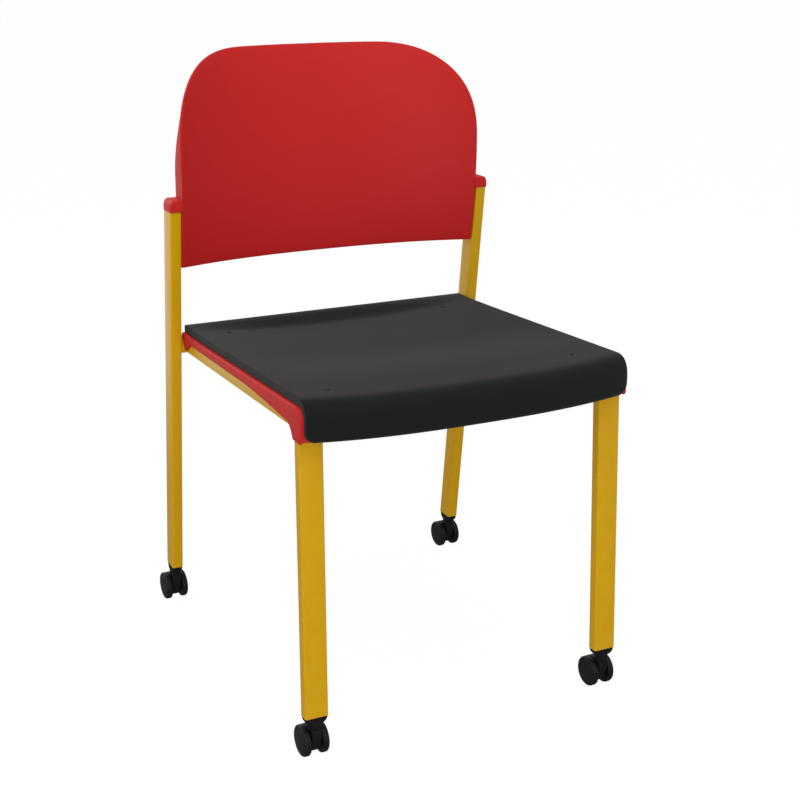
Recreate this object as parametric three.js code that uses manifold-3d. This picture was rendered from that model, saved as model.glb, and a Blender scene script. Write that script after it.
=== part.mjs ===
// A four-legged chair on castors: bent tube frame, moulded seat, curved backrest and twin-wheel castors.
// Millimetres. Seen from the front, +X is to the right; the chair faces -Y and stands on z = 0.

import * as THREE from "three";
import { mergeVertices } from "three/addons/utils/BufferGeometryUtils.js";
import Module from "manifold-3d";

const wasm = await Module();
wasm.setup();

const radians = THREE.MathUtils.degToRad;

// Fits that every piece shares
const seam = 0.3;
const cutOverrun = 3;
const weld = 0.0001;

// Flat tube of the legs, side rails and uprights
const tube = { wide: 30, thin: 15, wall: 1.5, corner: 3 };

// Front leg and side rail, one bent tube on each side
const leg = { footFrontY: -252.6, rake: radians(1.76), footSpread: 3.75 };
const rail = { slope: radians(2.6), rearCentreHeight: 408.4, bendRadius: 20, bendSteps: 8 };

// Straight upright behind the seat, leaning forward as it rises
const upright = { legClearance: 2, footFrontY: 232.5, lean: radians(8.1), backLap: 77.8 };

// Round tubes across the frame
const cross = { diameter: 25, wall: 1.5, rearY: 197.5, rearRise: 1.3, frontY: -110, frontDrop: 5, sides: 20 };

// Seat surface: its side edges rise to the front, its middle is dished, its front turns down
const seat = {
  halfWidth: 212,
  rearY: 192,
  frontY: -280,
  cornerBow: 24,
  bowPower: 2.6,
  edgeRise: 27.8,
  slope: radians(3.13),
  noseDepth: 27,
  noseHeight: 27,
  nosePower: 2.4,
  hemRise: 3.1,
  dishDepth: 15,
  dishFrontSetback: 80,
  dishPower: 2.4,
  lipWidth: 24,
  lipCrest: 6,
  lipRise: 1.2,
  edgeRadius: 1.5,
};
const pad = { thick: 9.7, noseThick: 7.7, lowerCorner: 8, cornerShares: [0, 0.3, 0.62, 1] };
const shell = { thick: 4, sideWide: 4, railSetback: 0.75, cornerShares: [0, 1] };
const flange = { wide: 32, frontSetback: 73, rearSetback: 32 };

// Side skirt of the seat shell, outside the rail, with a tab beside the rear cross tube
const skirt = {
  thick: 2.5,
  chamfer: 1,
  railLap: 10.8,
  kneeRise: 18.8,
  kneeY: -70,
  throatRise: 15.7,
  throatY: -211,
  legLapY: -229.5,
  footDrop: 1.2,
  cornerRadius: 12,
  tabRearY: 192,
  tabDrop: 3,
  tabTipY: 180.2,
  tabTipWide: 6,
  tabNotchY: 156,
  throatShare: 0.5,
  kneeShare: 0.5,
};

// Backrest: a concave panel with a rim flange on each side and a cap over each upright
const back = {
  bottomRise: 115.6,
  height: 281,
  uprightClearance: 2,
  cornerWidth: 122.8,
  cornerHeight: 131.7,
  cornerPower: 2.55,
  footSetback: 2.7,
  footLean: 0.237,
  edgeRadius: 617,
  footSag: 27,
  sagGrowth: 0.22,
  sagPower: 2.5,
  thick: 5.5,
};
const rim = { thick: 3.8, deep: 31, taperStartRise: 123.5, taperHigh: 95, setback: 0.4 };
const cap = { proud: 0.5, rimLap: 0.5, high: 15.6, shoulderWide: 6, shoulderHigh: 10, spigot: 25 };

// Fastenings
const screwSides = 10;
const headCrownShare = 0.6;
const backScrew = { diameter: 4, head: 8, headHigh: 2.6, grip: 3, lowRise: 14, pitch: 30 };
const seatScrew = { diameter: 4.5, head: 9, headHigh: 3, grip: 4.5, frontY: -130, rearY: 130, play: 0.5 };

// Plug in the foot of each tube, which holds the castor's stem
const plug = { neck: 17, high: 8.4, spigot: 20, boreDeep: 7.7, squareness: 6, roundness: 2, rings: 3, sides: 20 };

// Twin-wheel castor
const wheel = {
  radius: 20,
  inner: 7.85,
  rim: 14.9,
  shoulder: 2.8,
  cheek: 16.2,
  dome: 16.8,
  bore: 2.8,
  boreEnd: 13.6,
  sides: 24,
};
const stem = {
  radius: 3.5,
  footRise: 1.7,
  topClearance: 0.7,
  tip: 0.8,
  grooveRise: 3,
  ringWide: 1.6,
  ringIn: 2.9,
  ringOut: 3.72,
};
const bore = { radius: 3.9, sides: 12 };
const axle = { radius: 2.5, half: 13.3 };
const castor = {
  trail: 10.8,
  turn: radians(1.5),
  webHalf: 6.4,
  webRadius: 14.8,
  throat: 14,
  hoodRadius: 20,
  hoodHalf: 7.5,
  hoodInner: 17.5,
  hoodRear: radians(8),
  hoodFront: radians(114),
  bossRadius: 8.5,
  bossRise: 0.6,
  bossHigh: 7.8,
  plugClearance: 0.4,
  steps: 5,
};

// How finely curves are divided
const cornerSteps = 1;
const seatSteps = { lip: 3, top: 7, nose: 5, hem: 3, across: 14, skirt: 5 };
const backSteps = { side: 6, corner: 10, across: 18, rim: 11 };

// Finishes
const finish = {
  yellow: new THREE.MeshStandardMaterial({ color: 0xc8940f, roughness: 0.38, metalness: 0.0 }),
  red: new THREE.MeshStandardMaterial({ color: 0xb02626, roughness: 0.5, metalness: 0.0 }),
  black: new THREE.MeshStandardMaterial({ color: 0x2c2e2d, roughness: 0.65, metalness: 0.0 }),
  castorBlack: new THREE.MeshStandardMaterial({ color: 0x1d1e1f, roughness: 0.5, metalness: 0.0 }),
  steel: new THREE.MeshStandardMaterial({ color: 0xb5b8ba, roughness: 0.35, metalness: 1.0 }),
};

const chair = new THREE.Group();

// Shared geometry helpers

/** Closed manifold solid of a three.js geometry, whatever its normals and texture coordinates. */
function solidOf(geometry) {
  const bare = geometry.clone();
  bare.deleteAttribute("normal");
  bare.deleteAttribute("uv");
  const merged = mergeVertices(bare, weld);
  const index = merged.index.array;
  const kept = [];
  for (let i = 0; i < index.length; i += 3) {
    const [a, b, c] = [index[i], index[i + 1], index[i + 2]];
    if (a !== b && b !== c && c !== a) kept.push(a, b, c);
  }
  const vertProperties = new Float32Array(merged.attributes.position.array);
  return new wasm.Manifold(new wasm.Mesh({ numProp: 3, vertProperties, triVerts: new Uint32Array(kept) }));
}

/** three.js geometry of a manifold solid. */
function geometryOf(solid) {
  const { vertProperties, triVerts } = solid.getMesh();
  const geometry = new THREE.BufferGeometry();
  geometry.setAttribute("position", new THREE.BufferAttribute(new Float32Array(vertProperties), 3));
  geometry.setIndex(new THREE.BufferAttribute(new Uint32Array(triVerts), 1));
  geometry.computeVertexNormals();
  return geometry;
}

/** One solid from several geometries that meet, less those that cut it. */
function build(joined, cuts = []) {
  let solid = solidOf(joined[0]);
  for (const extra of joined.slice(1)) solid = solid.add(solidOf(extra));
  for (const cut of cuts) solid = solid.subtract(solidOf(cut));
  return geometryOf(solid);
}

/** Named mesh, added to a group. */
function place(name, geometry, material, group = chair) {
  const mesh = new THREE.Mesh(geometry, material.clone());
  mesh.name = name;
  group.add(mesh);
  return mesh;
}

/** Closed solid between two grids of points that have the same rows and columns. */
function sheetBetween(outer, inner) {
  const rows = outer.length;
  const columns = outer[0].length;
  const positions = [];
  for (const grid of [outer, inner]) {
    for (const row of grid) for (const point of row) positions.push(point.x, point.y, point.z);
  }
  const out = (i, j) => i * columns + j;
  const back = (i, j) => rows * columns + out(i, j);
  const index = [];
  const quad = (a, b, c, d) => index.push(a, b, c, a, c, d);
  for (let i = 0; i < rows - 1; i++) {
    for (let j = 0; j < columns - 1; j++) {
      quad(out(i, j), out(i, j + 1), out(i + 1, j + 1), out(i + 1, j));
      quad(back(i, j), back(i + 1, j), back(i + 1, j + 1), back(i, j + 1));
    }
    quad(out(i, 0), out(i + 1, 0), back(i + 1, 0), back(i, 0));
    quad(out(i, columns - 1), back(i, columns - 1), back(i + 1, columns - 1), out(i + 1, columns - 1));
  }
  for (let j = 0; j < columns - 1; j++) {
    quad(out(0, j), back(0, j), back(0, j + 1), out(0, j + 1));
    quad(out(rows - 1, j), out(rows - 1, j + 1), back(rows - 1, j + 1), back(rows - 1, j));
  }
  const geometry = new THREE.BufferGeometry();
  geometry.setAttribute("position", new THREE.Float32BufferAttribute(positions, 3));
  geometry.setIndex(signedVolume(positions, index) < 0 ? index.reverse() : index);
  return geometry;
}

/** Six times the volume that a triangle list encloses, negative where its faces point inward. */
function signedVolume(positions, index) {
  const corner = (k) => new THREE.Vector3().fromArray(positions, 3 * index[k]);
  let sum = 0;
  for (let k = 0; k < index.length; k += 3) sum += corner(k).dot(corner(k + 1).cross(corner(k + 2)));
  return sum;
}

/** Values from one end to the other in equal steps, both ends included. */
function spread(from, to, steps) {
  return Array.from({ length: steps + 1 }, (_, i) => THREE.MathUtils.lerp(from, to, i / steps));
}

/** Rounded rectangle about the origin. */
function roundedRectangle(width, height, radius) {
  const shape = new THREE.Shape();
  const [x, y] = [width / 2 - radius, height / 2 - radius];
  shape.absarc(x, y, radius, 0, Math.PI / 2);
  shape.absarc(-x, y, radius, Math.PI / 2, Math.PI);
  shape.absarc(-x, -y, radius, Math.PI, 1.5 * Math.PI);
  shape.absarc(x, -y, radius, 1.5 * Math.PI, 2 * Math.PI);
  return shape;
}

/** Hollow section of the flat tube, its long side given for each direction. */
function tubeSection(width, height) {
  const section = roundedRectangle(width, height, tube.corner);
  section.holes.push(roundedRectangle(width - 2 * tube.wall, height - 2 * tube.wall, tube.corner - tube.wall));
  return section;
}

/** Round bar or hole along Z, its middle at the origin. */
function roundBar(radius, length, sides) {
  return new THREE.CylinderGeometry(radius, radius, length, sides).rotateX(Math.PI / 2);
}

/** Path through given stations with given directions, so that only the bend is finely divided. */
class StationPath extends THREE.Curve {
  constructor(points, directions) {
    super();
    this.points = points;
    this.directions = directions;
  }
  station(share) {
    return Math.round(share * (this.points.length - 1));
  }
  getPointAt(share, target = new THREE.Vector3()) {
    return target.copy(this.points[this.station(share)]);
  }
  getTangentAt(share, target = new THREE.Vector3()) {
    return target.copy(this.directions[this.station(share)]);
  }
}

// Heights that stand on the wheels

const bossFoot = 2 * wheel.radius + castor.bossRise;
const bossTop = bossFoot + castor.bossHigh;
const footHeight = bossTop + castor.plugClearance + plug.high + seam;
const stemFoot = bossFoot + stem.footRise;
const stemTop = footHeight + plug.boreDeep - stem.topClearance;
const grooveHeight = footHeight + stem.grooveRise;

// Frame

/** Height of the side rail's centre line. */
function railCentre(y) {
  return rail.rearCentreHeight + Math.tan(rail.slope) * (cross.rearY - y);
}

/** Height of the side rail's upper face. */
function railTop(y) {
  return railCentre(y) + tube.thin / 2 / Math.cos(rail.slope);
}

/** Front face of an upright at a height. */
function uprightFront(z) {
  return upright.footFrontY - Math.tan(upright.lean) * (z - footHeight);
}

const shellHalfWidth = seat.halfWidth + shell.sideWide;
const railOuterX = shellHalfWidth - shell.railSetback;
const railInnerX = railOuterX - tube.wide;
const railX = railOuterX - tube.wide / 2;
const legCentreX = railX + leg.footSpread;
const uprightInnerX = legCentreX + tube.wide / 2 + upright.legClearance;
const uprightOuterX = uprightInnerX + tube.thin;
const backHalf = uprightInnerX - back.uprightClearance;
const backBottom = rail.rearCentreHeight + back.bottomRise;
const uprightTop = backBottom + upright.backLap;
const uprightLong = tube.wide / Math.cos(upright.lean);
const legTurn = Math.PI / 2 + rail.slope - leg.rake;
const legCentreY = leg.footFrontY + tube.thin / 2;

/** Where the leg's and the rail's centre lines would cross. */
const knee = (() => {
  const rise = railCentre(legCentreY) - footHeight;
  const z = footHeight + rise / (1 + Math.tan(rail.slope) * Math.tan(leg.rake));
  return { y: legCentreY + Math.tan(leg.rake) * (z - footHeight), z };
})();
const railRearY = cross.rearY - cross.diameter / 2 - seam;

/** Stations of the bent tube, from the foot up, round the knee and back to the rear cross tube. */
function sidePath(side) {
  const tangentLength = rail.bendRadius * Math.tan(legTurn / 2);
  const up = new THREE.Vector3(0, Math.sin(leg.rake), Math.cos(leg.rake));
  const ahead = new THREE.Vector3(0, -Math.cos(leg.rake), Math.sin(leg.rake));
  const corner = new THREE.Vector3(0, knee.y, knee.z);
  const start = corner.clone().addScaledVector(up, -tangentLength);
  const centre = start.clone().addScaledVector(ahead, -rail.bendRadius);
  const points = [new THREE.Vector3(0, legCentreY, footHeight)];
  const directions = [new THREE.Vector3(0, 0, 1)];
  for (const angle of spread(0, legTurn, rail.bendSteps)) {
    const spoke = ahead.clone().multiplyScalar(Math.cos(angle)).addScaledVector(up, Math.sin(angle));
    points.push(centre.clone().addScaledVector(spoke, rail.bendRadius));
    directions.push(up.clone().multiplyScalar(Math.cos(angle)).addScaledVector(ahead, -Math.sin(angle)));
  }
  points.push(new THREE.Vector3(0, railRearY, railCentre(railRearY)));
  directions.push(new THREE.Vector3(0, 1, 0));
  const bendStart = points[1].z;
  for (const point of points) {
    const belowShare = Math.max(0, bendStart - point.z) / (bendStart - footHeight);
    point.x = side * (railX + leg.footSpread * belowShare);
  }
  return new StationPath(points, directions);
}

/** Place of a seat screw on the rail, its own axis square to the rail. */
function railFrame(side, y) {
  const frame = new THREE.Matrix4().makeRotationX(-rail.slope);
  return frame.setPosition(side * railX, y, railCentre(y));
}

/** A flat section drawn along the bent tube's centre line. */
function alongSide(side, section) {
  const path = sidePath(side);
  const options = { steps: path.points.length - 1, extrudePath: path, curveSegments: cornerSteps };
  return new THREE.ExtrudeGeometry(section, options);
}

/** Front leg and side rail of one side. */
function sideFrame(side) {
  const body = alongSide(side, tubeSection(tube.thin, tube.wide));
  const hole = seatScrew.diameter / 2 + seatScrew.play;
  const cuts = [seatScrew.frontY, seatScrew.rearY].map((y) =>
    roundBar(hole, tube.thin + 2 * cutOverrun, screwSides).applyMatrix4(railFrame(side, y)),
  );
  return build([body], cuts);
}

/** Leaning prism of a flat section with level ends. */
function leaningPrism(section, from, to, side, frontY) {
  const options = { depth: to - from, bevelEnabled: false, curveSegments: cornerSteps };
  const prism = new THREE.ExtrudeGeometry(section, options).translate(0, 0, from);
  const shear = new THREE.Matrix4().makeShear(0, 0, 0, 0, 0, -Math.tan(upright.lean));
  prism.translate(0, 0, -footHeight).applyMatrix4(shear);
  return prism.translate(side * (uprightInnerX + tube.thin / 2), frontY + uprightLong / 2, footHeight);
}

/** Centre line of an upright at a height. */
function uprightCentre(z) {
  return uprightFront(z) + uprightLong / 2;
}

/** Rear upright of one side. */
function uprightTube(side) {
  const section = tubeSection(tube.thin, uprightLong);
  const body = leaningPrism(section, footHeight, uprightTop, side, upright.footFrontY);
  const hole = backScrew.diameter / 2 + seam;
  const cuts = backScrewHeights.map((z) =>
    roundBar(hole, 2 * tube.wall + cutOverrun, screwSides)
      .rotateY(Math.PI / 2)
      .translate(side * uprightInnerX, uprightCentre(z), z),
  );
  return build([body], cuts);
}

/** Round hollow tube along X between two faces. */
function crossTube(halfLength, y, z) {
  const outside = roundBar(cross.diameter / 2, 2 * halfLength, cross.sides);
  const inside = roundBar(cross.diameter / 2 - cross.wall, 2 * (halfLength + cutOverrun), cross.sides);
  return build([outside], [inside]).rotateY(Math.PI / 2).translate(0, y, z);
}

// Seat

const hemHeight = rail.rearCentreHeight + seat.hemRise;

/** Height of the seat's side edge. */
function seatEdge(y) {
  return rail.rearCentreHeight + seat.edgeRise + Math.tan(seat.slope) * (seat.rearY - y);
}

/** Front of the seat at a distance from its middle. */
function seatFront(x) {
  return seat.frontY + seat.cornerBow * Math.abs(x / seat.halfWidth) ** seat.bowPower;
}

/** How far the top lies below the side edges. */
function dish(x, y) {
  const across = 1 - Math.min(1, Math.abs(x / seat.halfWidth)) ** seat.dishPower;
  const lipFoot = seat.rearY - seat.lipCrest - seat.lipWidth;
  const front = seatFront(x) + seat.dishFrontSetback;
  const along = THREE.MathUtils.smoothstep(y, front, lipFoot - seat.lipWidth);
  const lip = 1 - THREE.MathUtils.smoothstep(y, lipFoot, seat.rearY - seat.lipCrest);
  return seat.dishDepth * across * along * lip - seat.lipRise * (1 - lip);
}

/** Height of the seat's top surface. */
function seatTop(x, y) {
  return seatEdge(y) - dish(x, y);
}

/**
 * Profile of one seat layer at x, from the rear edge over the top, round the nose and down to the hem.
 * topInset and noseInset are how far the layer's surface lies inside the seat's outer surface.
 */
function seatProfile(x, topInset, noseInset, hem) {
  const points = [];
  const inside = Math.min(Math.abs(x), seat.halfWidth) * Math.sign(x);
  const front = seatFront(inside);
  const noseY = front + seat.noseDepth;
  const lipFoot = seat.rearY - seat.lipCrest - seat.lipWidth;
  const stationsY = [
    seat.rearY,
    seat.rearY - seat.edgeRadius,
    ...spread(seat.rearY - seat.lipCrest, lipFoot, seatSteps.lip),
    ...spread(lipFoot, noseY, seatSteps.top).slice(1),
  ];
  stationsY.forEach((y, i) => {
    const edge = i === 0 && topInset === 0 ? seat.edgeRadius : 0;
    points.push(new THREE.Vector3(x, y, seatTop(inside, y) - topInset - edge));
  });
  const depth = seat.noseDepth - noseInset;
  const rise = seat.noseHeight - topInset;
  const centre = seatTop(inside, noseY) - seat.noseHeight;
  for (const angle of spread(Math.PI / 2, 0, seatSteps.nose).slice(1)) {
    const y = noseY - depth * Math.cos(angle) ** (2 / seat.nosePower);
    const z = centre + rise * Math.sin(angle) ** (2 / seat.nosePower);
    points.push(new THREE.Vector3(x, y, z));
  }
  points.push(...hem(front).map(([y, z]) => new THREE.Vector3(x, y, z)));
  return points;
}

/** Hem of the pad: a quarter round as deep as the pad is thick, or its centre for the inner surface. */
function padHem(radius, lift) {
  return (front) =>
    spread(0, Math.PI / 2, seatSteps.hem).map((angle) => [
      front + pad.noseThick - radius * Math.cos(angle),
      hemHeight + lift + pad.noseThick - radius * Math.sin(angle),
    ]);
}

/** Black top layer of the seat. */
function seatPad() {
  const columns = seatColumns(pad.cornerShares);
  const outer = columns.map((x) => {
    const lift = cornerLift(x);
    return seatProfile(x, 0, 0, padHem(pad.noseThick, lift));
  });
  const inner = columns.map((x) => {
    const lift = cornerLift(x);
    return seatProfile(x, pad.thick, pad.noseThick, padHem(0, lift));
  });
  return build([sheetBetween(outer, inner)]);
}

/** Places across the seat, with given shares of the pad's rounded lower corners. */
function seatColumns(cornerShares) {
  const half = seat.halfWidth;
  const corner = cornerShares.map((share) => half - pad.lowerCorner * (1 - share));
  const middle = spread(0, half - pad.lowerCorner, seatSteps.across / 2).slice(0, -1);
  const right = [...middle, ...corner];
  return [...right.slice(1).map((x) => -x).reverse(), ...right];
}

/** Rise of the hem in the pad's rounded lower corners. */
function cornerLift(x) {
  const into = Math.max(0, Math.abs(x) - (seat.halfWidth - pad.lowerCorner));
  return pad.lowerCorner - Math.sqrt(Math.max(0, pad.lowerCorner ** 2 - into ** 2));
}

/** Red shell: a skin under the pad, a flange on each rail and a skirt outside it. */
function seatShell() {
  const top = pad.thick + seam;
  const nose = pad.noseThick + seam;
  const hemSkin = (inset) => (front) => [[front + inset, hemHeight - seam]];
  const columns = [-shellHalfWidth, ...seatColumns(shell.cornerShares), shellHalfWidth];
  const outer = columns.map((x) => seatProfile(x, top, nose, hemSkin(nose)));
  const deepNose = nose + shell.thick;
  const inner = columns.map((x) => seatProfile(x, top + shell.thick, deepNose, hemSkin(deepNose)));
  const joined = [sheetBetween(outer, inner)];
  const cuts = [];
  for (const side of [-1, 1]) {
    joined.push(sideFlange(side), sideSkirt(side));
    const room = roundedRectangle(tube.thin + 2 * seam, tube.wide + 2 * seam, tube.corner + seam);
    cuts.push(alongSide(side, room));
    for (const y of [seatScrew.frontY, seatScrew.rearY]) {
      const deep = tube.thin / 2 + seam + seatScrew.grip + seatScrew.play;
      const hole = roundBar(seatScrew.diameter / 2 + seam, deep, screwSides).translate(0, 0, deep / 2);
      cuts.push(hole.applyMatrix4(railFrame(side, y)));
    }
  }
  return build(joined, cuts);
}

/** Thick band of the shell that lies on a side rail. */
function sideFlange(side) {
  const front = seatFront(seat.halfWidth) + flange.frontSetback;
  const rear = seat.rearY - flange.rearSetback;
  const stationsY = spread(front, rear, seatSteps.top);
  const skin = pad.thick + seam + shell.thick / 2;
  const grid = (height) =>
    [shellHalfWidth - flange.wide, shellHalfWidth].map((x) => stationsY.map((y) => new THREE.Vector3(side * x, y, height(x, y))));
  const inside = (x) => Math.min(x, seat.halfWidth);
  const upper = grid((x, y) => seatTop(inside(x), y) - skin);
  const lower = grid((x, y) => railTop(y) + seam);
  return sheetBetween(upper, lower);
}

const skirtFoot = rail.rearCentreHeight - skirt.footDrop;
const tabTip = rail.rearCentreHeight - skirt.tabDrop;

/** Outline of a side skirt in the side view, as matching upper and lower edges from front to rear. */
function skirtEdges(inset) {
  const noseInset = pad.noseThick + seam + inset;
  const hem = (front) =>
    spread(0, Math.PI / 2, seatSteps.hem).map((angle) => [
      front + noseInset + skirt.cornerRadius * (1 - Math.cos(angle)),
      skirtFoot + skirt.cornerRadius * (1 - Math.sin(angle)),
    ]);
  const profile = seatProfile(seat.halfWidth, pad.thick + seam + inset, noseInset, hem);
  const upper = profile.filter((p) => p.y < skirt.tabRearY).reverse();
  upper.push(new THREE.Vector3(0, skirt.tabRearY - inset, seatEdge(skirt.tabRearY) - pad.thick - seam - inset));
  const knee = new THREE.Vector2(skirt.kneeY, rail.rearCentreHeight + skirt.kneeRise);
  const throat = new THREE.Vector2(skirt.throatY, rail.rearCentreHeight + skirt.throatRise);
  const notchHeight = seatEdge(skirt.tabNotchY) - pad.thick - skirt.railLap;
  const lower = new THREE.Path();
  lower.moveTo(skirt.legLapY, skirtFoot);
  const throatPull = THREE.MathUtils.lerp(skirt.legLapY, throat.x, skirt.throatShare);
  const kneePull = THREE.MathUtils.lerp(throat.x, knee.x, skirt.kneeShare);
  lower.quadraticCurveTo(throatPull, throat.y, throat.x, throat.y);
  lower.quadraticCurveTo(kneePull, knee.y, knee.x, knee.y);
  lower.lineTo(skirt.tabNotchY, notchHeight);
  lower.lineTo(skirt.tabTipY - skirt.tabTipWide, tabTip);
  lower.lineTo(skirt.tabTipY, tabTip);
  return { upper, lower: lower.getPoints(seatSteps.skirt) };
}

/** Outer plate of the shell on one side, chamfered along its upper edge. */
function sideSkirt(side) {
  const outline = (x, inset) => {
    const { upper, lower } = skirtEdges(inset);
    const points = [...upper.map((p) => [p.y, p.z]), ...lower.reverse().map((p) => [p.x, p.y])];
    return { x: side * x, points };
  };
  const inner = railOuterX + seam;
  const outer = inner + skirt.thick;
  return loftPlates([outline(inner, 0), outline(outer - skirt.chamfer, 0), outline(outer, skirt.chamfer)]);
}

/** Solid through flat outlines that lie across X, with as many points each. */
function loftPlates(plates) {
  const count = plates[0].points.length;
  const positions = plates.flatMap(({ x, points }) => points.flatMap(([y, z]) => [x, y, z]));
  const contour = plates[0].points.map(([y, z]) => new THREE.Vector2(y, z));
  const faces = THREE.ShapeUtils.triangulateShape(contour, []);
  const index = [];
  for (const [a, b, c] of faces) index.push(a, c, b);
  const last = (plates.length - 1) * count;
  const lastContour = plates[plates.length - 1].points.map(([y, z]) => new THREE.Vector2(y, z));
  const lastFaces = THREE.ShapeUtils.triangulateShape(lastContour, []);
  for (const [a, b, c] of lastFaces) index.push(last + a, last + b, last + c);
  const turned = THREE.ShapeUtils.area(contour) < 0 ? -1 : 1;
  for (let p = 0; p < plates.length - 1; p++) {
    for (let k = 0; k < count; k++) {
      const next = (k + 1) % count;
      const [a, b, c, d] = [p * count + k, p * count + next, (p + 1) * count + next, (p + 1) * count + k];
      if (turned > 0) index.push(a, b, c, a, c, d);
      else index.push(a, c, b, a, d, c);
    }
  }
  const geometry = new THREE.BufferGeometry();
  geometry.setAttribute("position", new THREE.Float32BufferAttribute(positions, 3));
  geometry.setIndex(signedVolume(positions, index) < 0 ? index.reverse() : index);
  return geometry;
}

// Backrest

/** Front edge line of the backrest's sides. */
function backEdge(z) {
  const up = z - backBottom;
  const foot = uprightFront(backBottom) + back.footSetback;
  return foot - back.footLean * up + up ** 2 / (2 * back.edgeRadius);
}

/** Front surface of the backrest. */
function backFront(x, z) {
  const sag = back.footSag + back.sagGrowth * (z - backBottom);
  return backEdge(z) + sag * (1 - Math.abs(x / backHalf) ** back.sagPower);
}

/** Rows of the backrest's outline: straight sides, then the rounded upper corners. */
function backRows() {
  const sideTop = backBottom + back.height - back.cornerHeight;
  const straight = spread(backBottom, sideTop, backSteps.side).map((z) => ({ z, half: backHalf }));
  const rounded = spread(0, Math.PI / 2, backSteps.corner).slice(1).map((angle) => {
    const rise = Math.min(1, Math.sin(angle)) ** (2 / back.cornerPower);
    const reach = Math.max(0, Math.cos(angle)) ** (2 / back.cornerPower);
    const half = backHalf - back.cornerWidth * (1 - reach);
    return { z: sideTop + back.cornerHeight * rise, half };
  });
  return [...straight, ...rounded];
}

/** Curved panel of the backrest. */
function backPanel() {
  const grid = (depth) =>
    backRows().map(({ z, half }) =>
      spread(-half, half, backSteps.across).map((x) => new THREE.Vector3(x, backFront(x, z) + depth, z)),
    );
  return sheetBetween(grid(0), grid(back.thick));
}

/** Flange that stands behind one side edge, beside the upright. */
function backRim(side) {
  const taperStart = backBottom + rim.taperStartRise;
  const heights = spread(backBottom, taperStart + rim.taperHigh, backSteps.rim);
  const depth = (z) => {
    const taper = THREE.MathUtils.clamp((z - taperStart) / rim.taperHigh, 0, 1);
    const full = back.thick / 2;
    return full + ((rim.deep - full) * (1 + Math.cos(Math.PI * taper))) / 2;
  };
  const grid = (inset) =>
    heights.map((z) => {
      const half = backHalfWidth(z);
      const front = backFront(half, z);
      return [front + rim.setback, front + depth(z)].map((y) => new THREE.Vector3(side * (half - inset), y, z));
    });
  return sheetBetween(grid(0), grid(rim.thick));
}

/** Half the backrest's width at a height. */
function backHalfWidth(z) {
  const into = Math.max(0, (z - (backBottom + back.height - back.cornerHeight)) / back.cornerHeight);
  return backHalf - back.cornerWidth * (1 - (1 - into ** back.cornerPower) ** (1 / back.cornerPower));
}

/** Cap over the upright's end, with the spigot that goes into the tube. */
function backCap(side) {
  const bottom = uprightTop + seam;
  const top = bottom + cap.high;
  const outer = uprightOuterX + cap.proud;
  const inner = backHalf - cap.rimLap;
  const profile = new THREE.Shape();
  profile.moveTo(inner, bottom);
  profile.lineTo(outer, bottom);
  const [wide, high] = [cap.shoulderWide, cap.shoulderHigh];
  profile.absellipse(outer - wide, top - high, wide, high, 0, Math.PI / 2);
  profile.lineTo(inner, top);
  const long = uprightLong + 2 * cap.proud;
  const options = { depth: long, bevelEnabled: false, curveSegments: 2 * cornerSteps };
  const block = new THREE.ExtrudeGeometry(profile, options).rotateX(Math.PI / 2);
  block.translate(0, uprightCentre((bottom + top) / 2) + long / 2, 0);
  if (side < 0) block.rotateZ(Math.PI).translate(0, 2 * uprightCentre((bottom + top) / 2), 0);
  const inset = 2 * (tube.wall + seam);
  const section = roundedRectangle(tube.thin - inset, uprightLong - inset, tube.corner - tube.wall);
  return [block, leaningPrism(section, bottom - cap.spigot, bottom + cap.high / 2, side, upright.footFrontY)];
}

const lowScrewHeight = backBottom + backScrew.lowRise;
const backScrewHeights = [lowScrewHeight, lowScrewHeight + backScrew.pitch];

/** Backrest with its rim flanges, caps and screw holes. */
function backrest() {
  const joined = [backPanel()];
  const cuts = [];
  for (const side of [-1, 1]) {
    joined.push(backRim(side), ...backCap(side));
    for (const z of backScrewHeights) {
      const hole = roundBar(backScrew.diameter / 2 + seam, rim.thick + 2 * cutOverrun, screwSides);
      hole.rotateY(Math.PI / 2).translate(side * (backHalf - rim.thick / 2), uprightCentre(z), z);
      cuts.push(hole);
    }
  }
  return build(joined, cuts);
}

// Fastenings

/** Pan-head screw along Z, its head's seat at the origin and its shank going up. */
function panScrew(size, shank) {
  const [r, head] = [size.diameter / 2, size.head / 2];
  const profile = [
    [0, -size.headHigh],
    [head * headCrownShare, -size.headHigh],
    [head, -size.headHigh * headCrownShare],
    [head, 0],
    [r, 0],
    [r, shank - r],
    [0, shank],
  ];
  const points = profile.map(([x, y]) => new THREE.Vector2(x, y));
  return new THREE.LatheGeometry(points, screwSides).rotateX(Math.PI / 2);
}

/** Four screws that hold the backrest's flanges to the uprights. */
function addBackScrews() {
  const innerFace = backHalf - rim.thick;
  const shank = uprightInnerX + tube.wall + backScrew.grip - innerFace + seam;
  for (const [sideName, side] of sides) {
    backScrewHeights.forEach((z, i) => {
      const screw = panScrew(backScrew, shank).rotateY((side * Math.PI) / 2);
      screw.translate(side * (innerFace - seam), uprightCentre(z), z);
      place(`${sideName}_back_screw_${i + 1}`, screw, finish.steel);
    });
  }
}

/** Four screws that hold the seat shell to the side rails. */
function addSeatScrews() {
  const shank = tube.thin + 2 * seam + seatScrew.grip;
  for (const [sideName, side] of sides) {
    [seatScrew.frontY, seatScrew.rearY].forEach((y, i) => {
      const screw = panScrew(seatScrew, shank).translate(0, 0, -tube.thin / 2 - seam);
      place(`${sideName}_seat_screw_${i + 1}`, screw.applyMatrix4(railFrame(side, y)), finish.steel);
    });
  }
}

// Feet

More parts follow.
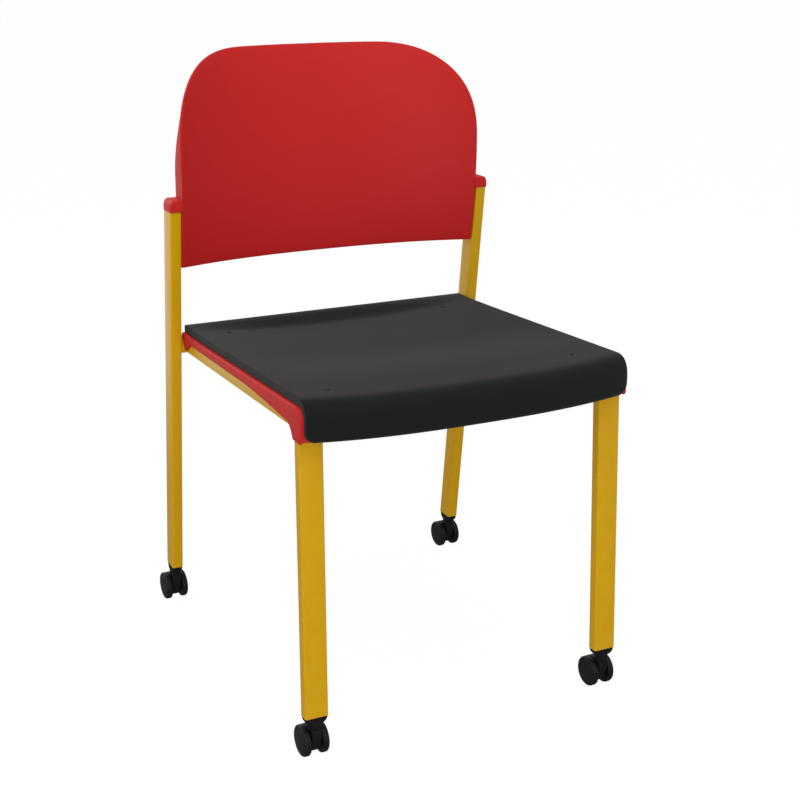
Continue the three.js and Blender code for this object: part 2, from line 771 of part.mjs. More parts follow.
/** Plug of one foot: a dome under the tube's end, a spigot inside it and a blind bore for the stem. */
function footPlug(widthX, widthY, lean) {
  const count = plug.sides;
  const ring = (share) => {
    const fall = Math.sqrt(1 - share ** 2);
    const squareness = THREE.MathUtils.lerp(plug.roundness, plug.squareness, fall);
    const [a, b] = [widthX, widthY].map((w) => (plug.neck + (w - plug.neck) * fall) / 2);
    return Array.from({ length: count }, (_, k) => {
      const angle = ((2 * k + 1) * Math.PI) / count;
      const [c, s] = [Math.cos(angle), Math.sin(angle)];
      const x = a * Math.sign(c) * Math.abs(c) ** (2 / squareness);
      const y = b * Math.sign(s) * Math.abs(s) ** (2 / squareness);
      return new THREE.Vector3(x, y, footHeight - seam - plug.high * share);
    });
  };
  const rings = spread(0, 1, plug.rings).map(ring);
  const dome = stackRings(rings);
  const inset = 2 * (tube.wall + seam);
  const section = roundedRectangle(widthX - inset, widthY - inset, tube.corner - tube.wall);
  const options = { depth: plug.spigot + cutOverrun, bevelEnabled: false, curveSegments: cornerSteps };
  const spigot = new THREE.ExtrudeGeometry(section, options).translate(0, 0, -cutOverrun);
  spigot.applyMatrix4(new THREE.Matrix4().makeShear(0, 0, 0, 0, lean.x, lean.y)).translate(0, 0, footHeight);
  const top = footHeight + plug.boreDeep;
  const foot = footHeight - plug.high - cutOverrun;
  const hole = roundBar(bore.radius, top - foot, bore.sides).translate(0, 0, (top + foot) / 2);
  return build([dome, spigot], [hole]);
}

/** Closed solid through level rings of points, from the first down to the last. */
function stackRings(rings) {
  const count = rings[0].length;
  const positions = rings.flatMap((ring) => ring.flatMap((p) => [p.x, p.y, p.z]));
  const index = [];
  for (let r = 0; r < rings.length - 1; r++) {
    for (let k = 0; k < count; k++) {
      const next = (k + 1) % count;
      const [a, b] = [r * count + k, r * count + next];
      index.push(a, a + count, b + count, a, b + count, b);
    }
  }
  for (let k = 1; k < count - 1; k++) {
    index.push(0, k, k + 1);
    const last = (rings.length - 1) * count;
    index.push(last, last + k + 1, last + k);
  }
  const geometry = new THREE.BufferGeometry();
  geometry.setAttribute("position", new THREE.Float32BufferAttribute(positions, 3));
  geometry.setIndex(signedVolume(positions, index) < 0 ? index.reverse() : index);
  return geometry;
}

// Castors, each about its own swivel axis with the wheels trailing along +Y

/** Moulded body of the castor: web between the wheels, hood over the web and boss round the stem. */
function castorHousing() {
  const [y, z] = [castor.trail, wheel.radius];
  const acrossX = (geometry) => geometry.rotateY(Math.PI / 2).translate(0, y, z);
  const web = new THREE.Shape();
  web.moveTo(castor.bossRadius - y, bossFoot + seam - z);
  web.lineTo(-castor.bossRadius - y, bossFoot + seam - z);
  web.lineTo(-castor.bossRadius - y, castor.throat);
  web.absarc(0, 0, castor.webRadius, Math.PI, 2 * Math.PI);
  const sector = new THREE.Shape();
  sector.moveTo(0, 0);
  sector.absarc(0, 0, castor.hoodRadius, castor.hoodRear, castor.hoodFront);
  const slab = (shape, half) => {
    const options = { depth: 2 * half, bevelEnabled: false, curveSegments: castor.steps };
    const geometry = new THREE.ExtrudeGeometry(shape, options).translate(0, 0, -half);
    // the outline's first axis is the chair's Y and its second is Z
    geometry.rotateX(Math.PI / 2).rotateZ(Math.PI / 2);
    return geometry.translate(0, y, z);
  };
  const boss = roundBar(castor.bossRadius, bossTop - bossFoot, bore.sides);
  boss.translate(0, 0, (bossTop + bossFoot) / 2);
  const spaceHalf = (castor.hoodHalf + cutOverrun - castor.webHalf) / 2;
  const cuts = [-1, 1].map((side) => {
    const space = acrossX(roundBar(castor.hoodInner, 2 * spaceHalf, wheel.sides));
    return space.translate(side * (castor.webHalf + spaceHalf), 0, 0);
  });
  const stemHole = roundBar(stem.radius + seam, bossTop - stemFoot + cutOverrun, bore.sides);
  cuts.push(stemHole.translate(0, 0, (bossTop + stemFoot - seam + cutOverrun) / 2));
  cuts.push(acrossX(roundBar(wheel.bore, 2 * castor.webHalf + 2 * cutOverrun, bore.sides)));
  return build([slab(web, castor.webHalf), slab(sector, castor.hoodHalf), boss], cuts);
}

/** Wheel of the castor, its axis along X, with a blind hub bore and a slightly domed outer face. */
function castorWheel(side) {
  const flatRadius = wheel.radius / Math.cos(Math.PI / wheel.sides);
  const profile = [
    [0, wheel.dome],
    [flatRadius - wheel.shoulder, wheel.cheek],
    [flatRadius, wheel.rim],
    [flatRadius, wheel.inner],
    [wheel.bore, wheel.inner],
    [wheel.bore, wheel.boreEnd],
    [0, wheel.boreEnd],
  ];
  const points = profile.map(([r, x]) => new THREE.Vector2(r, x)).reverse();
  const geometry = new THREE.LatheGeometry(points, wheel.sides, Math.PI / wheel.sides);
  return geometry.rotateZ((-side * Math.PI) / 2);
}

/** Steel stem with a groove near its top for the grip ring. */
function castorStem() {
  const half = stem.ringWide / 2 + seam;
  const groove = stem.ringIn - seam;
  const profile = [
    [0, stemFoot],
    [stem.radius, stemFoot],
    [stem.radius, grooveHeight - half],
    [groove, grooveHeight - half],
    [groove, grooveHeight + half],
    [stem.radius, grooveHeight + half],
    [stem.radius, stemTop - stem.tip],
    [stem.radius - stem.tip, stemTop],
    [0, stemTop],
  ];
  return new THREE.LatheGeometry(profile.map(([r, z]) => new THREE.Vector2(r, z)), bore.sides).rotateX(Math.PI / 2);
}

/** Spring ring that grips the plug's bore. */
function gripRing() {
  const half = stem.ringWide / 2;
  const profile = [
    [stem.ringIn, -half],
    [stem.ringOut, -half],
    [stem.ringOut, half],
    [stem.ringIn, half],
    [stem.ringIn, -half],
  ];
  const ring = new THREE.LatheGeometry(profile.map(([r, z]) => new THREE.Vector2(r, z)), bore.sides);
  return ring.rotateX(Math.PI / 2).translate(0, 0, grooveHeight);
}

/** Whole castor at one foot. */
function addCastor(corner, x, y) {
  const group = new THREE.Group();
  group.position.set(x, y, 0);
  group.rotation.z = castor.turn;
  chair.add(group);
  place(`${corner}_castor_housing`, castorHousing(), finish.castorBlack, group);
  place(`${corner}_castor_stem`, castorStem(), finish.steel, group);
  place(`${corner}_grip_ring`, gripRing(), finish.steel, group);
  const pin = roundBar(axle.radius, 2 * axle.half, bore.sides).rotateY(Math.PI / 2);
  place(`${corner}_axle`, pin.translate(0, castor.trail, wheel.radius), finish.steel, group);
  for (const [sideName, side] of sides) {
    const turned = castorWheel(side).translate(0, castor.trail, wheel.radius);
    place(`${corner}_wheel_${sideName}`, turned, finish.castorBlack, group);
  }
}

// Assembly

const sides = [
  ["left", -1],
  ["right", 1],
];

for (const [sideName, side] of sides) {
  place(`${sideName}_side_frame`, sideFrame(side), finish.yellow);
  place(`${sideName}_upright`, uprightTube(side), finish.yellow);
}
const rearCrossHeight = rail.rearCentreHeight + cross.rearRise;
const frontCrossHeight = railCentre(cross.frontY) - cross.frontDrop;
place("rear_cross_tube", crossTube(uprightInnerX - seam, cross.rearY, rearCrossHeight), finish.yellow);
place("front_cross_tube", crossTube(railInnerX - seam, cross.frontY, frontCrossHeight), finish.yellow);
place("seat_shell", seatShell(), finish.red);
place("seat_pad", seatPad(), finish.black);
place("backrest", backrest(), finish.red);
addBackScrews();
addSeatScrews();

for (const [sideName, side] of sides) {
  const legFoot = { x: side * legCentreX, y: legCentreY };
  const legLean = { x: (-side * leg.footSpread) / (knee.z - footHeight), y: Math.tan(leg.rake) };
  const uprightFoot = { x: side * (uprightInnerX + tube.thin / 2), y: uprightCentre(footHeight) };
  const uprightLean = { x: 0, y: -Math.tan(upright.lean) };
  const frontPlug = footPlug(tube.wide, tube.thin, legLean).translate(legFoot.x, legFoot.y, 0);
  const rearPlug = footPlug(tube.thin, uprightLong, uprightLean).translate(uprightFoot.x, uprightFoot.y, 0);
  place(`front_${sideName}_plug`, frontPlug, finish.castorBlack);
  place(`rear_${sideName}_plug`, rearPlug, finish.castorBlack);
  addCastor(`front_${sideName}`, legFoot.x, legFoot.y);
  addCastor(`rear_${sideName}`, uprightFoot.x, uprightFoot.y);
}

export default chair;
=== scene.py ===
"""Visual model of an armless chair on castors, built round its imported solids.

Sizes are in millimetres and angles in radians where a class doesn't say otherwise. The chair faces
-Y, X runs to the right of someone who looks at its front, and Z is the height above the floor.
"""

import logging
import math
from dataclasses import dataclass, field
from enum import Enum
from typing import Callable, Sequence

import bmesh
import bpy
from mathutils import Matrix, Vector
from mathutils.geometry import delaunay_2d_cdt


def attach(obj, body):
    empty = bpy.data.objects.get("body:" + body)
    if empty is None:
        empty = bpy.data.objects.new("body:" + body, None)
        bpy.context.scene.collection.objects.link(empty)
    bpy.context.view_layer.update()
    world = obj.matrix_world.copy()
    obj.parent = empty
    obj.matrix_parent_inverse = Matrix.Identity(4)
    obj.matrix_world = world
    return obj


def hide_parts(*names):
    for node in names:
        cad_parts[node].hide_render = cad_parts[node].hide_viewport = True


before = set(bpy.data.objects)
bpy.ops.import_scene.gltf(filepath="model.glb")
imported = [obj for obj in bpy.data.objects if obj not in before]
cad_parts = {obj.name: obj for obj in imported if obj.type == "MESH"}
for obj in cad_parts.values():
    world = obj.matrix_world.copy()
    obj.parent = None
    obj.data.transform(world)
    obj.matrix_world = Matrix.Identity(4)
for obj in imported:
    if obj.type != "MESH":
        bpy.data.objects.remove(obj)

LOG = logging.getLogger("chair")
MILLIMETRE = 0.001
MERGE_METRES = 4e-6
DEGENERATE_METRES = 1e-6
Pair = tuple[float, float]
Spot = tuple[float, float, float]
Rgb = tuple[float, float, float]
Placer = Callable[[float, float, float], Spot]
SIDES: tuple[tuple[str, int], ...] = (("left", -1), ("right", 1))


# Numbers and curves


def spread(start: float, end: float, steps: int) -> list[float]:
    """Values from one end to the other in equal steps, both ends included."""
    return [start + (end - start) * i / steps for i in range(steps + 1)]


def smooth_ramp(value: float, low: float, high: float) -> float:
    """Smooth change from 0 at low to 1 at high."""
    share = min(1.0, max(0.0, (value - low) / (high - low)))
    return share * share * (3 - 2 * share)


def arc(centre: Pair, radius: float, start: float, end: float, steps: int) -> list[Pair]:
    """Points of an arc about a centre, between two angles in radians."""
    angles = spread(start, end, steps)
    return [(centre[0] + radius * math.cos(a), centre[1] + radius * math.sin(a)) for a in angles]


def rounded_section(width: float, height: float, radius: float, steps: int = 5) -> list[Pair]:
    """Outline of a rounded rectangle about the origin, anticlockwise.

    Args:
        width: Size in its first direction.
        height: Size in its second direction.
        radius: Radius of its corners.
        steps: Divisions of each corner.

    Returns:
        The points of the outline.
    """
    x, y = width / 2 - radius, height / 2 - radius
    corners = [(x, y), (-x, y), (-x, -y), (x, -y)]
    outline: list[Pair] = []
    for quarter, centre in enumerate(corners):
        start = quarter * math.pi / 2
        outline += arc(centre, radius, start, start + math.pi / 2, steps)
    return outline


def quadratic(a: Pair, b: Pair, c: Pair, steps: int) -> list[Pair]:
    """Points of a quadratic curve after its first point.

    Args:
        a: Start of the curve.
        b: Point that the curve bends toward.
        c: End of the curve.
        steps: Number of points.

    Returns:
        The points, the end of the curve included.
    """
    points = []
    for t in spread(0, 1, steps)[1:]:
        s = 1 - t
        points.append(tuple(s * s * p + 2 * s * t * q + t * t * r for p, q, r in zip(a, b, c)))
    return points


def inset_outline(outline: Sequence[Pair], distance: float, sharpest: float = 0.35) -> list[Pair]:
    """Outline moved inward.

    Args:
        outline: Anticlockwise outline.
        distance: How far it moves.
        sharpest: Limit that keeps a sharp corner from running far inward.

    Returns:
        As many points as the outline has.
    """
    moved = []
    count = len(outline)
    for i, (x, y) in enumerate(outline):
        before = Vector((x, y)) - Vector(outline[i - 1])
        after = Vector(outline[(i + 1) % count]) - Vector((x, y))
        n1 = Vector((-before.y, before.x)).normalized()
        n2 = Vector((-after.y, after.x)).normalized()
        shift = (n1 + n2) / max(sharpest, 1 + n1.dot(n2)) * distance
        moved.append((x + shift.x, y + shift.y))
    return moved


def holds(outline: Sequence[Pair], point: Pair) -> bool:
    """Tells whether an outline holds a point.

    Args:
        outline: Closed outline.
        point: Point to test.

    Returns:
        True for a point inside.
    """
    inside = False
    x, y = point
    for (x1, y1), (x2, y2) in zip(outline, list(outline[1:]) + [outline[0]]):
        if (y1 > y) != (y2 > y) and x < (x2 - x1) * (y - y1) / (y2 - y1) + x1:
            inside = not inside
    return inside


def area_sign(outline: Sequence[Pair]) -> float:
    """Twice the signed area of an outline."""
    following = list(outline[1:]) + [outline[0]]
    return sum(x1 * y2 - x2 * y1 for (x1, y1), (x2, y2) in zip(outline, following))


def rotation(angle: float, axis: str) -> Matrix:
    """Matrix of a turn about one axis, in radians."""
    return Matrix.Rotation(angle, 4, axis)


# Mesh building


class Shape:
    """Points and faces of one piece, in millimetres, before it becomes an object."""

    def __init__(self) -> None:
        """Starts with nothing in it."""
        self.points: list[Spot] = []
        self.faces: list[tuple[int, ...]] = []

    def ring(self, points: Sequence[Spot]) -> list[int]:
        """Adds points.

        Args:
            points: Spots of the new points.

        Returns:
            Their places in the list of points.
        """
        start = len(self.points)
        self.points += [tuple(p) for p in points]
        return list(range(start, start + len(points)))

    def loft(self, rings: Sequence[Sequence[Spot]], closed: bool = True, looped: bool = False) -> None:
        """Adds quads between neighbouring rings.

        Args:
            rings: Rows of points with as many points each.
            closed: Whether each row closes on itself.
            looped: Whether the last row joins the first.
        """
        rows = [self.ring(ring) for ring in rings]
        pairs = list(zip(rows, rows[1:])) + ([(rows[-1], rows[0])] if looped else [])
        for a, b in pairs:
            for k in range(len(a) if closed else len(a) - 1):
                n = (k + 1) % len(a)
                self.faces.append((a[k], a[n], b[n], b[k]))

    def cap(self, ring: Sequence[Spot]) -> None:
        """Adds one flat face over a ring."""
        self.faces.append(tuple(self.ring(ring)))

    def bar(self, rings: Sequence[Sequence[Spot]]) -> None:
        """Adds a loft with a flat face at each end.

        Args:
            rings: Rows of points with as many points each.
        """
        self.loft(rings)
        self.cap(rings[0])
        self.cap(rings[-1])

    def sheet(self, over: Sequence[Sequence[Spot]], under: Sequence[Sequence[Spot]]) -> None:
        """Adds a sheet of some thickness, closed all round.

        Args:
            over: Lines of its upper side, from one side edge to the other.
            under: Lines of its lower side, with as many points.
        """
        self.loft([list(a) + list(b)[::-1] for a, b in zip(over, under)])
        for end in (0, -1):
            self.loft([over[end], under[end]], closed=False)

    def lathe(self, profile: Sequence[Pair], sides: int, place: Placer) -> None:
        """Turns a profile of radius and height about its axis.

        Args:
            profile: Radius and height of each point; a radius of 0 closes an end.
            sides: Number of divisions round the axis.
            place: Gives the spot for two coordinates across the axis and one along it.
        """
        turns = [2 * math.pi * k / sides for k in range(sides)]
        self.loft([[place(r * math.cos(t), r * math.sin(t), h) for t in turns] for r, h in profile])

    def plate(
        self,
        outline: Sequence[Pair],
        place: Placer,
        thick: float,
        edge: float,
        spacing: float,
        steps: int = 3,
        square_rear: bool = False,
    ) -> None:
        """Adds a plate of any outline with rounded edges.

        Args:
            outline: Outline of the plate in its own two directions.
            place: Gives the spot for two directions and a depth below the front.
            thick: Thickness of the plate.
            edge: Radius of its edges.
            spacing: Distance between points inside the outline.
            steps: Divisions of each rounded edge.
            square_rear: Whether the rear edge stays square.
        """
        if area_sign(outline) < 0:
            outline = list(reversed(outline))
        quarter = spread(0, math.pi / 2, steps)
        front = [(edge * (1 - math.sin(a)), edge * (1 - math.cos(a))) for a in quarter]
        rear = [(inset, thick - depth) for inset, depth in reversed(front)]
        if square_rear:
            rear = [(0.0, thick), (edge, thick)]
        rings = []
        for inset, depth in front + rear:
            rings.append([place(u, v, depth) for u, v in inset_outline(outline, inset)])
        self.loft(rings)
        within = inset_outline(outline, edge)
        kept = inset_outline(outline, edge + spacing / 2)
        us, vs = [u for u, _ in within], [v for _, v in within]
        inner = []
        for row in range(int((max(vs) - min(vs)) / spacing) + 1):
            for column in range(int((max(us) - min(us)) / spacing) + 1):
                u = min(us) + (column + (row % 2) / 2) * spacing
                v = min(vs) + (row + 0.5) * spacing
                if holds(kept, (u, v)):
                    inner.append((u, v))
        verts = [Vector(p) for p in within + inner]
        border = [list(range(len(within)))]
        inside_only, tolerance = 1, 1e-5
        points, _, faces, *_ = delaunay_2d_cdt(verts, [], border, inside_only, tolerance)
        for depth in (0.0, thick):
            ids = self.ring([place(p.x, p.y, depth) for p in points])
            self.faces += [tuple(ids[i] for i in face) for face in faces]

    def to_object(self, name: str, sharp: float = 40) -> bpy.types.Object:
        """Makes the object, with smooth shading that breaks at sharp edges.

        Args:
            name: Name of the object.
            sharp: Angle in degrees from which an edge shows as a line.

        Returns:
            The new object, at the origin of the row frame.
        """
        mesh = bpy.data.meshes.new(name)
        mesh.from_pydata([Vector(p) * MILLIMETRE for p in self.points], [], self.faces)
        work = bmesh.new()
        work.from_mesh(mesh)
        bmesh.ops.remove_doubles(work, verts=work.verts, dist=MERGE_METRES)
        bmesh.ops.dissolve_degenerate(work, edges=work.edges, dist=DEGENERATE_METRES)
        bmesh.ops.recalc_face_normals(work, faces=work.faces)
        work.to_mesh(mesh)
        work.free()
        mesh.polygons.foreach_set("use_smooth", [True] * len(mesh.polygons))
        mesh.set_sharp_from_angle(angle=math.radians(sharp))
        piece = bpy.data.objects.new(name, mesh)
        bpy.context.scene.collection.objects.link(piece)
        return piece


# Materials


class Nodes:
    """Short way to place and join shader nodes in one tree."""

    def __init__(self, tree: bpy.types.NodeTree) -> None:
        """Keeps the tree that the nodes go into."""
        self.tree = tree

    def add(self, kind: str, settings: dict | None = None, **inputs: object) -> bpy.types.Node:
        """Places a node.

        Args:
            kind: Type name of the node.
            settings: Properties of the node itself.
            **inputs: Values or sockets for its inputs, underscores standing for spaces.

        Returns:
            The node.
        """
        node = self.tree.nodes.new(kind)
        for key, value in (settings or {}).items():
            setattr(node, key, value)
        for key, value in inputs.items():
            self.feed(node.inputs[key.replace("_", " ")], value)
        return node

    def feed(self, socket: bpy.types.NodeSocket, value: object) -> None:
        """Joins a socket to an input, or sets the input's value.

        Args:
            socket: Input that is fed.
            value: Socket or plain value for it.
        """
        if isinstance(value, bpy.types.NodeSocket):
            self.tree.links.new(value, socket)
        else:
            socket.default_value = value

    def math(self, operation: str, a: object, b: object = 0.0) -> bpy.types.NodeSocket:
        """Calculates with two values.

        Args:
            operation: Name of the calculation.
            a: First value or socket.
            b: Second value or socket.

        Returns:
            The socket of the result.
        """
        node = self.add("ShaderNodeMath", {"operation": operation})
        self.feed(node.inputs[0], a)
        self.feed(node.inputs[1], b)
        return node.outputs[0]

    def mix(self, factor: object, a: object, b: object) -> bpy.types.NodeSocket:
        """Mixes two colours.

        Args:
            factor: Share of the second colour.
            a: First colour.
            b: Second colour.

        Returns:
            The socket of the colour between them.
        """
        node = self.add("ShaderNodeMix", {"data_type": "RGBA"})
        for name, value in (("Factor_Float", factor), ("A_Color", a), ("B_Color", b)):
            self.feed(next(socket for socket in node.inputs if socket.identifier == name), value)
        return next(socket for socket in node.outputs if socket.identifier == "Result_Color")

    def ramp(
        self, value: object, low: float, high: float, start: float = 0.0, end: float = 1.0
    ) -> bpy.types.NodeSocket:
        """Carries a value softly from one range to another and holds it at the ends.

        Args:
            value: Value or socket that is carried over.
            low: Lower end of its range.
            high: Upper end of its range.
            start: Result at the lower end.
            end: Result at the upper end.

        Returns:
            The socket of the result.
        """
        node = self.add("ShaderNodeMapRange", {"interpolation_type": "SMOOTHSTEP"})
        for place, number in enumerate((value, low, high, start, end)):
            self.feed(node.inputs[place], number)
        return node.outputs[0]

    def noise(self, where: object, scale: object, detail: float = 2.0) -> bpy.types.NodeSocket:
        """Soft noise between 0 and 1."""
        return self.add("ShaderNodeTexNoise", Vector=where, Scale=scale, Detail=detail).outputs["Fac"]


def linear(colour: Rgb) -> tuple[float, float, float, float]:
    """Turns a screen colour into a linear one, by the sRGB curve.

    Args:
        colour: Red, green and blue from 0 to 255.

    Returns:
        Linear red, green and blue, and a full alpha.
    """
    full, knee, slope, offset, power = 255, 0.04045, 12.92, 0.055, 2.4

    def channel(value: float) -> float:
        """Linear value of one channel."""
        share = value / full
        return share / slope if share <= knee else ((share + offset) / (1 + offset)) ** power

    return (*(channel(value) for value in colour), 1.0)


class Effect(Enum):
    """Shared effects of the materials."""

    GRAIN = "moulded_grain"
    DRIFT = "colour_drift"
    WEAR = "edge_wear"


@dataclass(frozen=True)
class EffectLevels:
    """Where each effect sets in and is full, and how fine its noise is."""

    grain_fineness: float = 2.3
    grain_detail: float = 3.0
    pits: Pair = (0.3, 0.62)
    drift_detail: float = 3.0
    drift_patches: Pair = (0.35, 0.7)
    wear_scale: float = 60.0
    wear_detail: float = 4.0
    wear_edges: Pair = (0.52, 0.6)
    wear_patches: Pair = (0.42, 0.62)


LEVELS = EffectLevels()


def new_group(effect: Effect, inputs: dict[str, tuple[str, object]], outputs: dict[str, str]) -> tuple:
    """Makes an empty shader group with named sockets.

    Args:
        effect: The effect that the group holds.
        inputs: Name, socket kind and first value of each input.
        outputs: Name and socket kind of each output.

    Returns:
        The group, its node placer, its input node and its output node.
    """
    group = bpy.data.node_groups.new(effect.value, "ShaderNodeTree")
    for name, (kind, value) in inputs.items():
        socket = group.interface.new_socket(name, in_out="INPUT", socket_type=kind)
        socket.default_value = value
    for name, kind in outputs.items():
        group.interface.new_socket(name, in_out="OUTPUT", socket_type=kind)
    nodes = Nodes(group)
    return group, nodes, nodes.add("NodeGroupInput"), nodes.add("NodeGroupOutput")


def build_grain() -> None:
    """Grain of a moulded or coated surface: pebbles with finer noise on them, as a height."""
    inputs = {"Scale": ("NodeSocketFloat", 1.0), "Pebble": ("NodeSocketFloat", 0.5)}
    outputs = {"Height": "NodeSocketFloat", "Pits": "NodeSocketFloat"}
    _, nodes, given, out = new_group(Effect.GRAIN, inputs, outputs)
    where = nodes.add("ShaderNodeTexCoord").outputs["Object"]
    scale = given.outputs["Scale"]
    cells = nodes.add("ShaderNodeTexVoronoi", {"feature": "SMOOTH_F1"}, Vector=where, Scale=scale)
    fine = nodes.noise(where, nodes.math("MULTIPLY", scale, LEVELS.grain_fineness), LEVELS.grain_detail)
    pebbles = nodes.math("MULTIPLY", cells.outputs["Distance"], given.outputs["Pebble"])
    rest = nodes.math("MULTIPLY", fine, nodes.math("SUBTRACT", 1.0, given.outputs["Pebble"]))
    height = nodes.math("ADD", pebbles, rest)
    nodes.feed(out.inputs["Height"], height)
    nodes.feed(out.inputs["Pits"], nodes.ramp(height, *LEVELS.pits))


def build_drift() -> None:
    """Slow change of a colour over the surface."""
    inputs = {
        "Color": ("NodeSocketColor", (1, 1, 1, 1)),
        "Shade": ("NodeSocketColor", (0, 0, 0, 1)),
        "Scale": ("NodeSocketFloat", 1.0),
        "Amount": ("NodeSocketFloat", 1.0),
    }
    outputs = {"Color": "NodeSocketColor", "Mask": "NodeSocketFloat"}
    _, nodes, given, out = new_group(Effect.DRIFT, inputs, outputs)
    where = nodes.add("ShaderNodeTexCoord").outputs["Object"]
    broad = nodes.noise(where, given.outputs["Scale"], LEVELS.drift_detail)
    mask = nodes.math("MULTIPLY", nodes.ramp(broad, *LEVELS.drift_patches), given.outputs["Amount"])
    nodes.feed(out.inputs["Color"], nodes.mix(mask, given.outputs["Color"], given.outputs["Shade"]))
    nodes.feed(out.inputs["Mask"], mask)


def build_wear() -> None:
    """Polish and fine rubbing along convex edges, broken up by noise."""
    inputs = {
        "Color": ("NodeSocketColor", (1, 1, 1, 1)),
        "Worn": ("NodeSocketColor", (1, 1, 1, 1)),
        "Amount": ("NodeSocketFloat", 1.0),
        "Scale": ("NodeSocketFloat", LEVELS.wear_scale),
    }
    outputs = {"Color": "NodeSocketColor", "Mask": "NodeSocketFloat"}
    _, nodes, given, out = new_group(Effect.WEAR, inputs, outputs)
    edge = nodes.ramp(nodes.add("ShaderNodeNewGeometry").outputs["Pointiness"], *LEVELS.wear_edges)
    where = nodes.add("ShaderNodeTexCoord").outputs["Object"]
    rubbed = nodes.noise(where, given.outputs["Scale"], LEVELS.wear_detail)
    patch = nodes.ramp(rubbed, *LEVELS.wear_patches)
    mask = nodes.math("MULTIPLY", nodes.math("MULTIPLY", edge, patch), given.outputs["Amount"])
    nodes.feed(out.inputs["Color"], nodes.mix(mask, given.outputs["Color"], given.outputs["Worn"]))
    nodes.feed(out.inputs["Mask"], mask)


def build_effects() -> None:
    """Makes every shared effect once."""
    for build in (build_grain, build_drift, build_wear):
        build()


@dataclass(frozen=True)
class Finish:
    """Finish of one material of the chair.

    Colours are screen values from 0 to 255, scales are per metre and the grain's depth is in metres.
    """

    slot: str
    colour: Rgb
    shade: Rgb
    worn: Rgb
    roughness: float
    roughness_change: float
    grain_scale: float
    grain_depth: float
    pebble: float = 0.5
    specular: float = 0.3
    metallic: float = 0.0
    drift_scale: float = 7.0
    drift: float = 0.3
    wear: float = 0.3
    worn_roughness_share: float = 0.6
    sheen: float = 0.0

    def group(self, nodes: Nodes, effect: Effect, **inputs: object) -> bpy.types.Node:
        """Places a shared effect with this finish's own values.

        Args:
            nodes: Placer for the material's tree.
            effect: Effect that is placed.
            **inputs: Values or sockets for its inputs.

        Returns:
            The node of the effect.
        """
        node = nodes.add("ShaderNodeGroup", {"node_tree": bpy.data.node_groups[effect.value]})
        for key, value in inputs.items():
            nodes.feed(node.inputs[key], value)
        return node

    def material(self) -> bpy.types.Material:
        """Makes the material once.

        Returns:
            The new material, or the one made before.
        """
        made = bpy.data.materials.get("finish_" + self.slot)
        if made:
            return made
        material = bpy.data.materials.new("finish_" + self.slot)
        material.use_nodes = True
        material.diffuse_color = linear(self.colour)
        nodes = Nodes(material.node_tree)
        material.node_tree.nodes.clear()
        grain = self.group(nodes, Effect.GRAIN, Scale=self.grain_scale, Pebble=self.pebble)
        colours = {"Color": linear(self.colour), "Shade": linear(self.shade)}
        drift = self.group(nodes, Effect.DRIFT, **colours, Scale=self.drift_scale, Amount=self.drift)
        colours = {"Color": drift.outputs["Color"], "Worn": linear(self.worn)}
        wear = self.group(nodes, Effect.WEAR, **colours, Amount=self.wear)
        change = self.roughness_change
        pits = nodes.ramp(grain.outputs["Pits"], 0.0, 1.0, -change, change)
        polished = self.roughness * self.worn_roughness_share
        rough = nodes.math("ADD", pits, nodes.ramp(wear.outputs["Mask"], 0.0, 1.0, self.roughness, polished))
        height = grain.outputs["Height"]
        bump = nodes.add("ShaderNodeBump", Strength=1.0, Distance=self.grain_depth, Height=height)
        shader = nodes.add(
            "ShaderNodeBsdfPrincipled",
            Base_Color=wear.outputs["Color"],
            Roughness=rough,
            Metallic=self.metallic,
            Normal=bump.outputs["Normal"],
            Specular_IOR_Level=self.specular,
            Sheen_Weight=self.sheen,
        )
        out = nodes.add("ShaderNodeOutputMaterial")
        nodes.feed(out.inputs["Surface"], shader.outputs["BSDF"])
        return material

    def dress(self, piece: bpy.types.Object) -> None:
        """Gives a piece this finish.

        Args:
            piece: Piece or solid that is dressed.
        """
        piece.data.materials.clear()
        piece.data.materials.append(self.material())


YELLOW_COAT = Finish(
    slot="yellow_tube",
    colour=(215, 166, 6),
    shade=(205, 153, 3),
    worn=(232, 190, 60),
    roughness=0.28,
    roughness_change=0.03,
    grain_scale=1500,
    grain_depth=0.00005,
    pebble=0.15,
    specular=0.2,
    wear=0.1,
)
RED_MOULDED = Finish(
    slot="red_shell",
    colour=(194, 34, 33),
    shade=(187, 29, 29),
    worn=(205, 62, 58),
    roughness=0.54,
    roughness_change=0.04,
    grain_scale=2100,
    grain_depth=0.00004,
    pebble=0.6,
    specular=0.15,
    wear=0.15,
)
BLACK_PAD = Finish(
    slot="black_pad",
    colour=(25, 28, 27),
    shade=(22, 25, 24),
    worn=(47, 50, 49),
    roughness=0.7,
    roughness_change=0.08,
    grain_scale=1500,
    grain_depth=0.00012,
    pebble=0.75,
    specular=0.04,
    wear=0.1,
    sheen=0.09,
)
CASTOR_BLACK = Finish(
    slot="castor_black",
    colour=(25, 25, 26),
    shade=(22, 22, 23),
    worn=(44, 44, 45),
    roughness=0.4,
    roughness_change=0.05,
    grain_scale=2600,
    grain_depth=0.00003,
    pebble=0.5,
    specular=0.1,
)
WHEEL_BLACK = Finish(
    slot="wheel_black",
    colour=(27, 27, 28),
    shade=(23, 23, 24),
    worn=(46, 46, 47),
    roughness=0.42,
    roughness_change=0.06,
    grain_scale=1800,
    grain_depth=0.00004,
    pebble=0.4,
    specular=0.12,
)
PIN_STEEL = Finish(
    slot="pin_steel",
    colour=(188, 190, 192),
    shade=(160, 162, 165),
    worn=(215, 216, 218),
    roughness=0.32,
    roughness_change=0.06,
    grain_scale=3000,
    grain_depth=0.00001,
    pebble=0.2,
    specular=0.5,
    metallic=1.0,
)
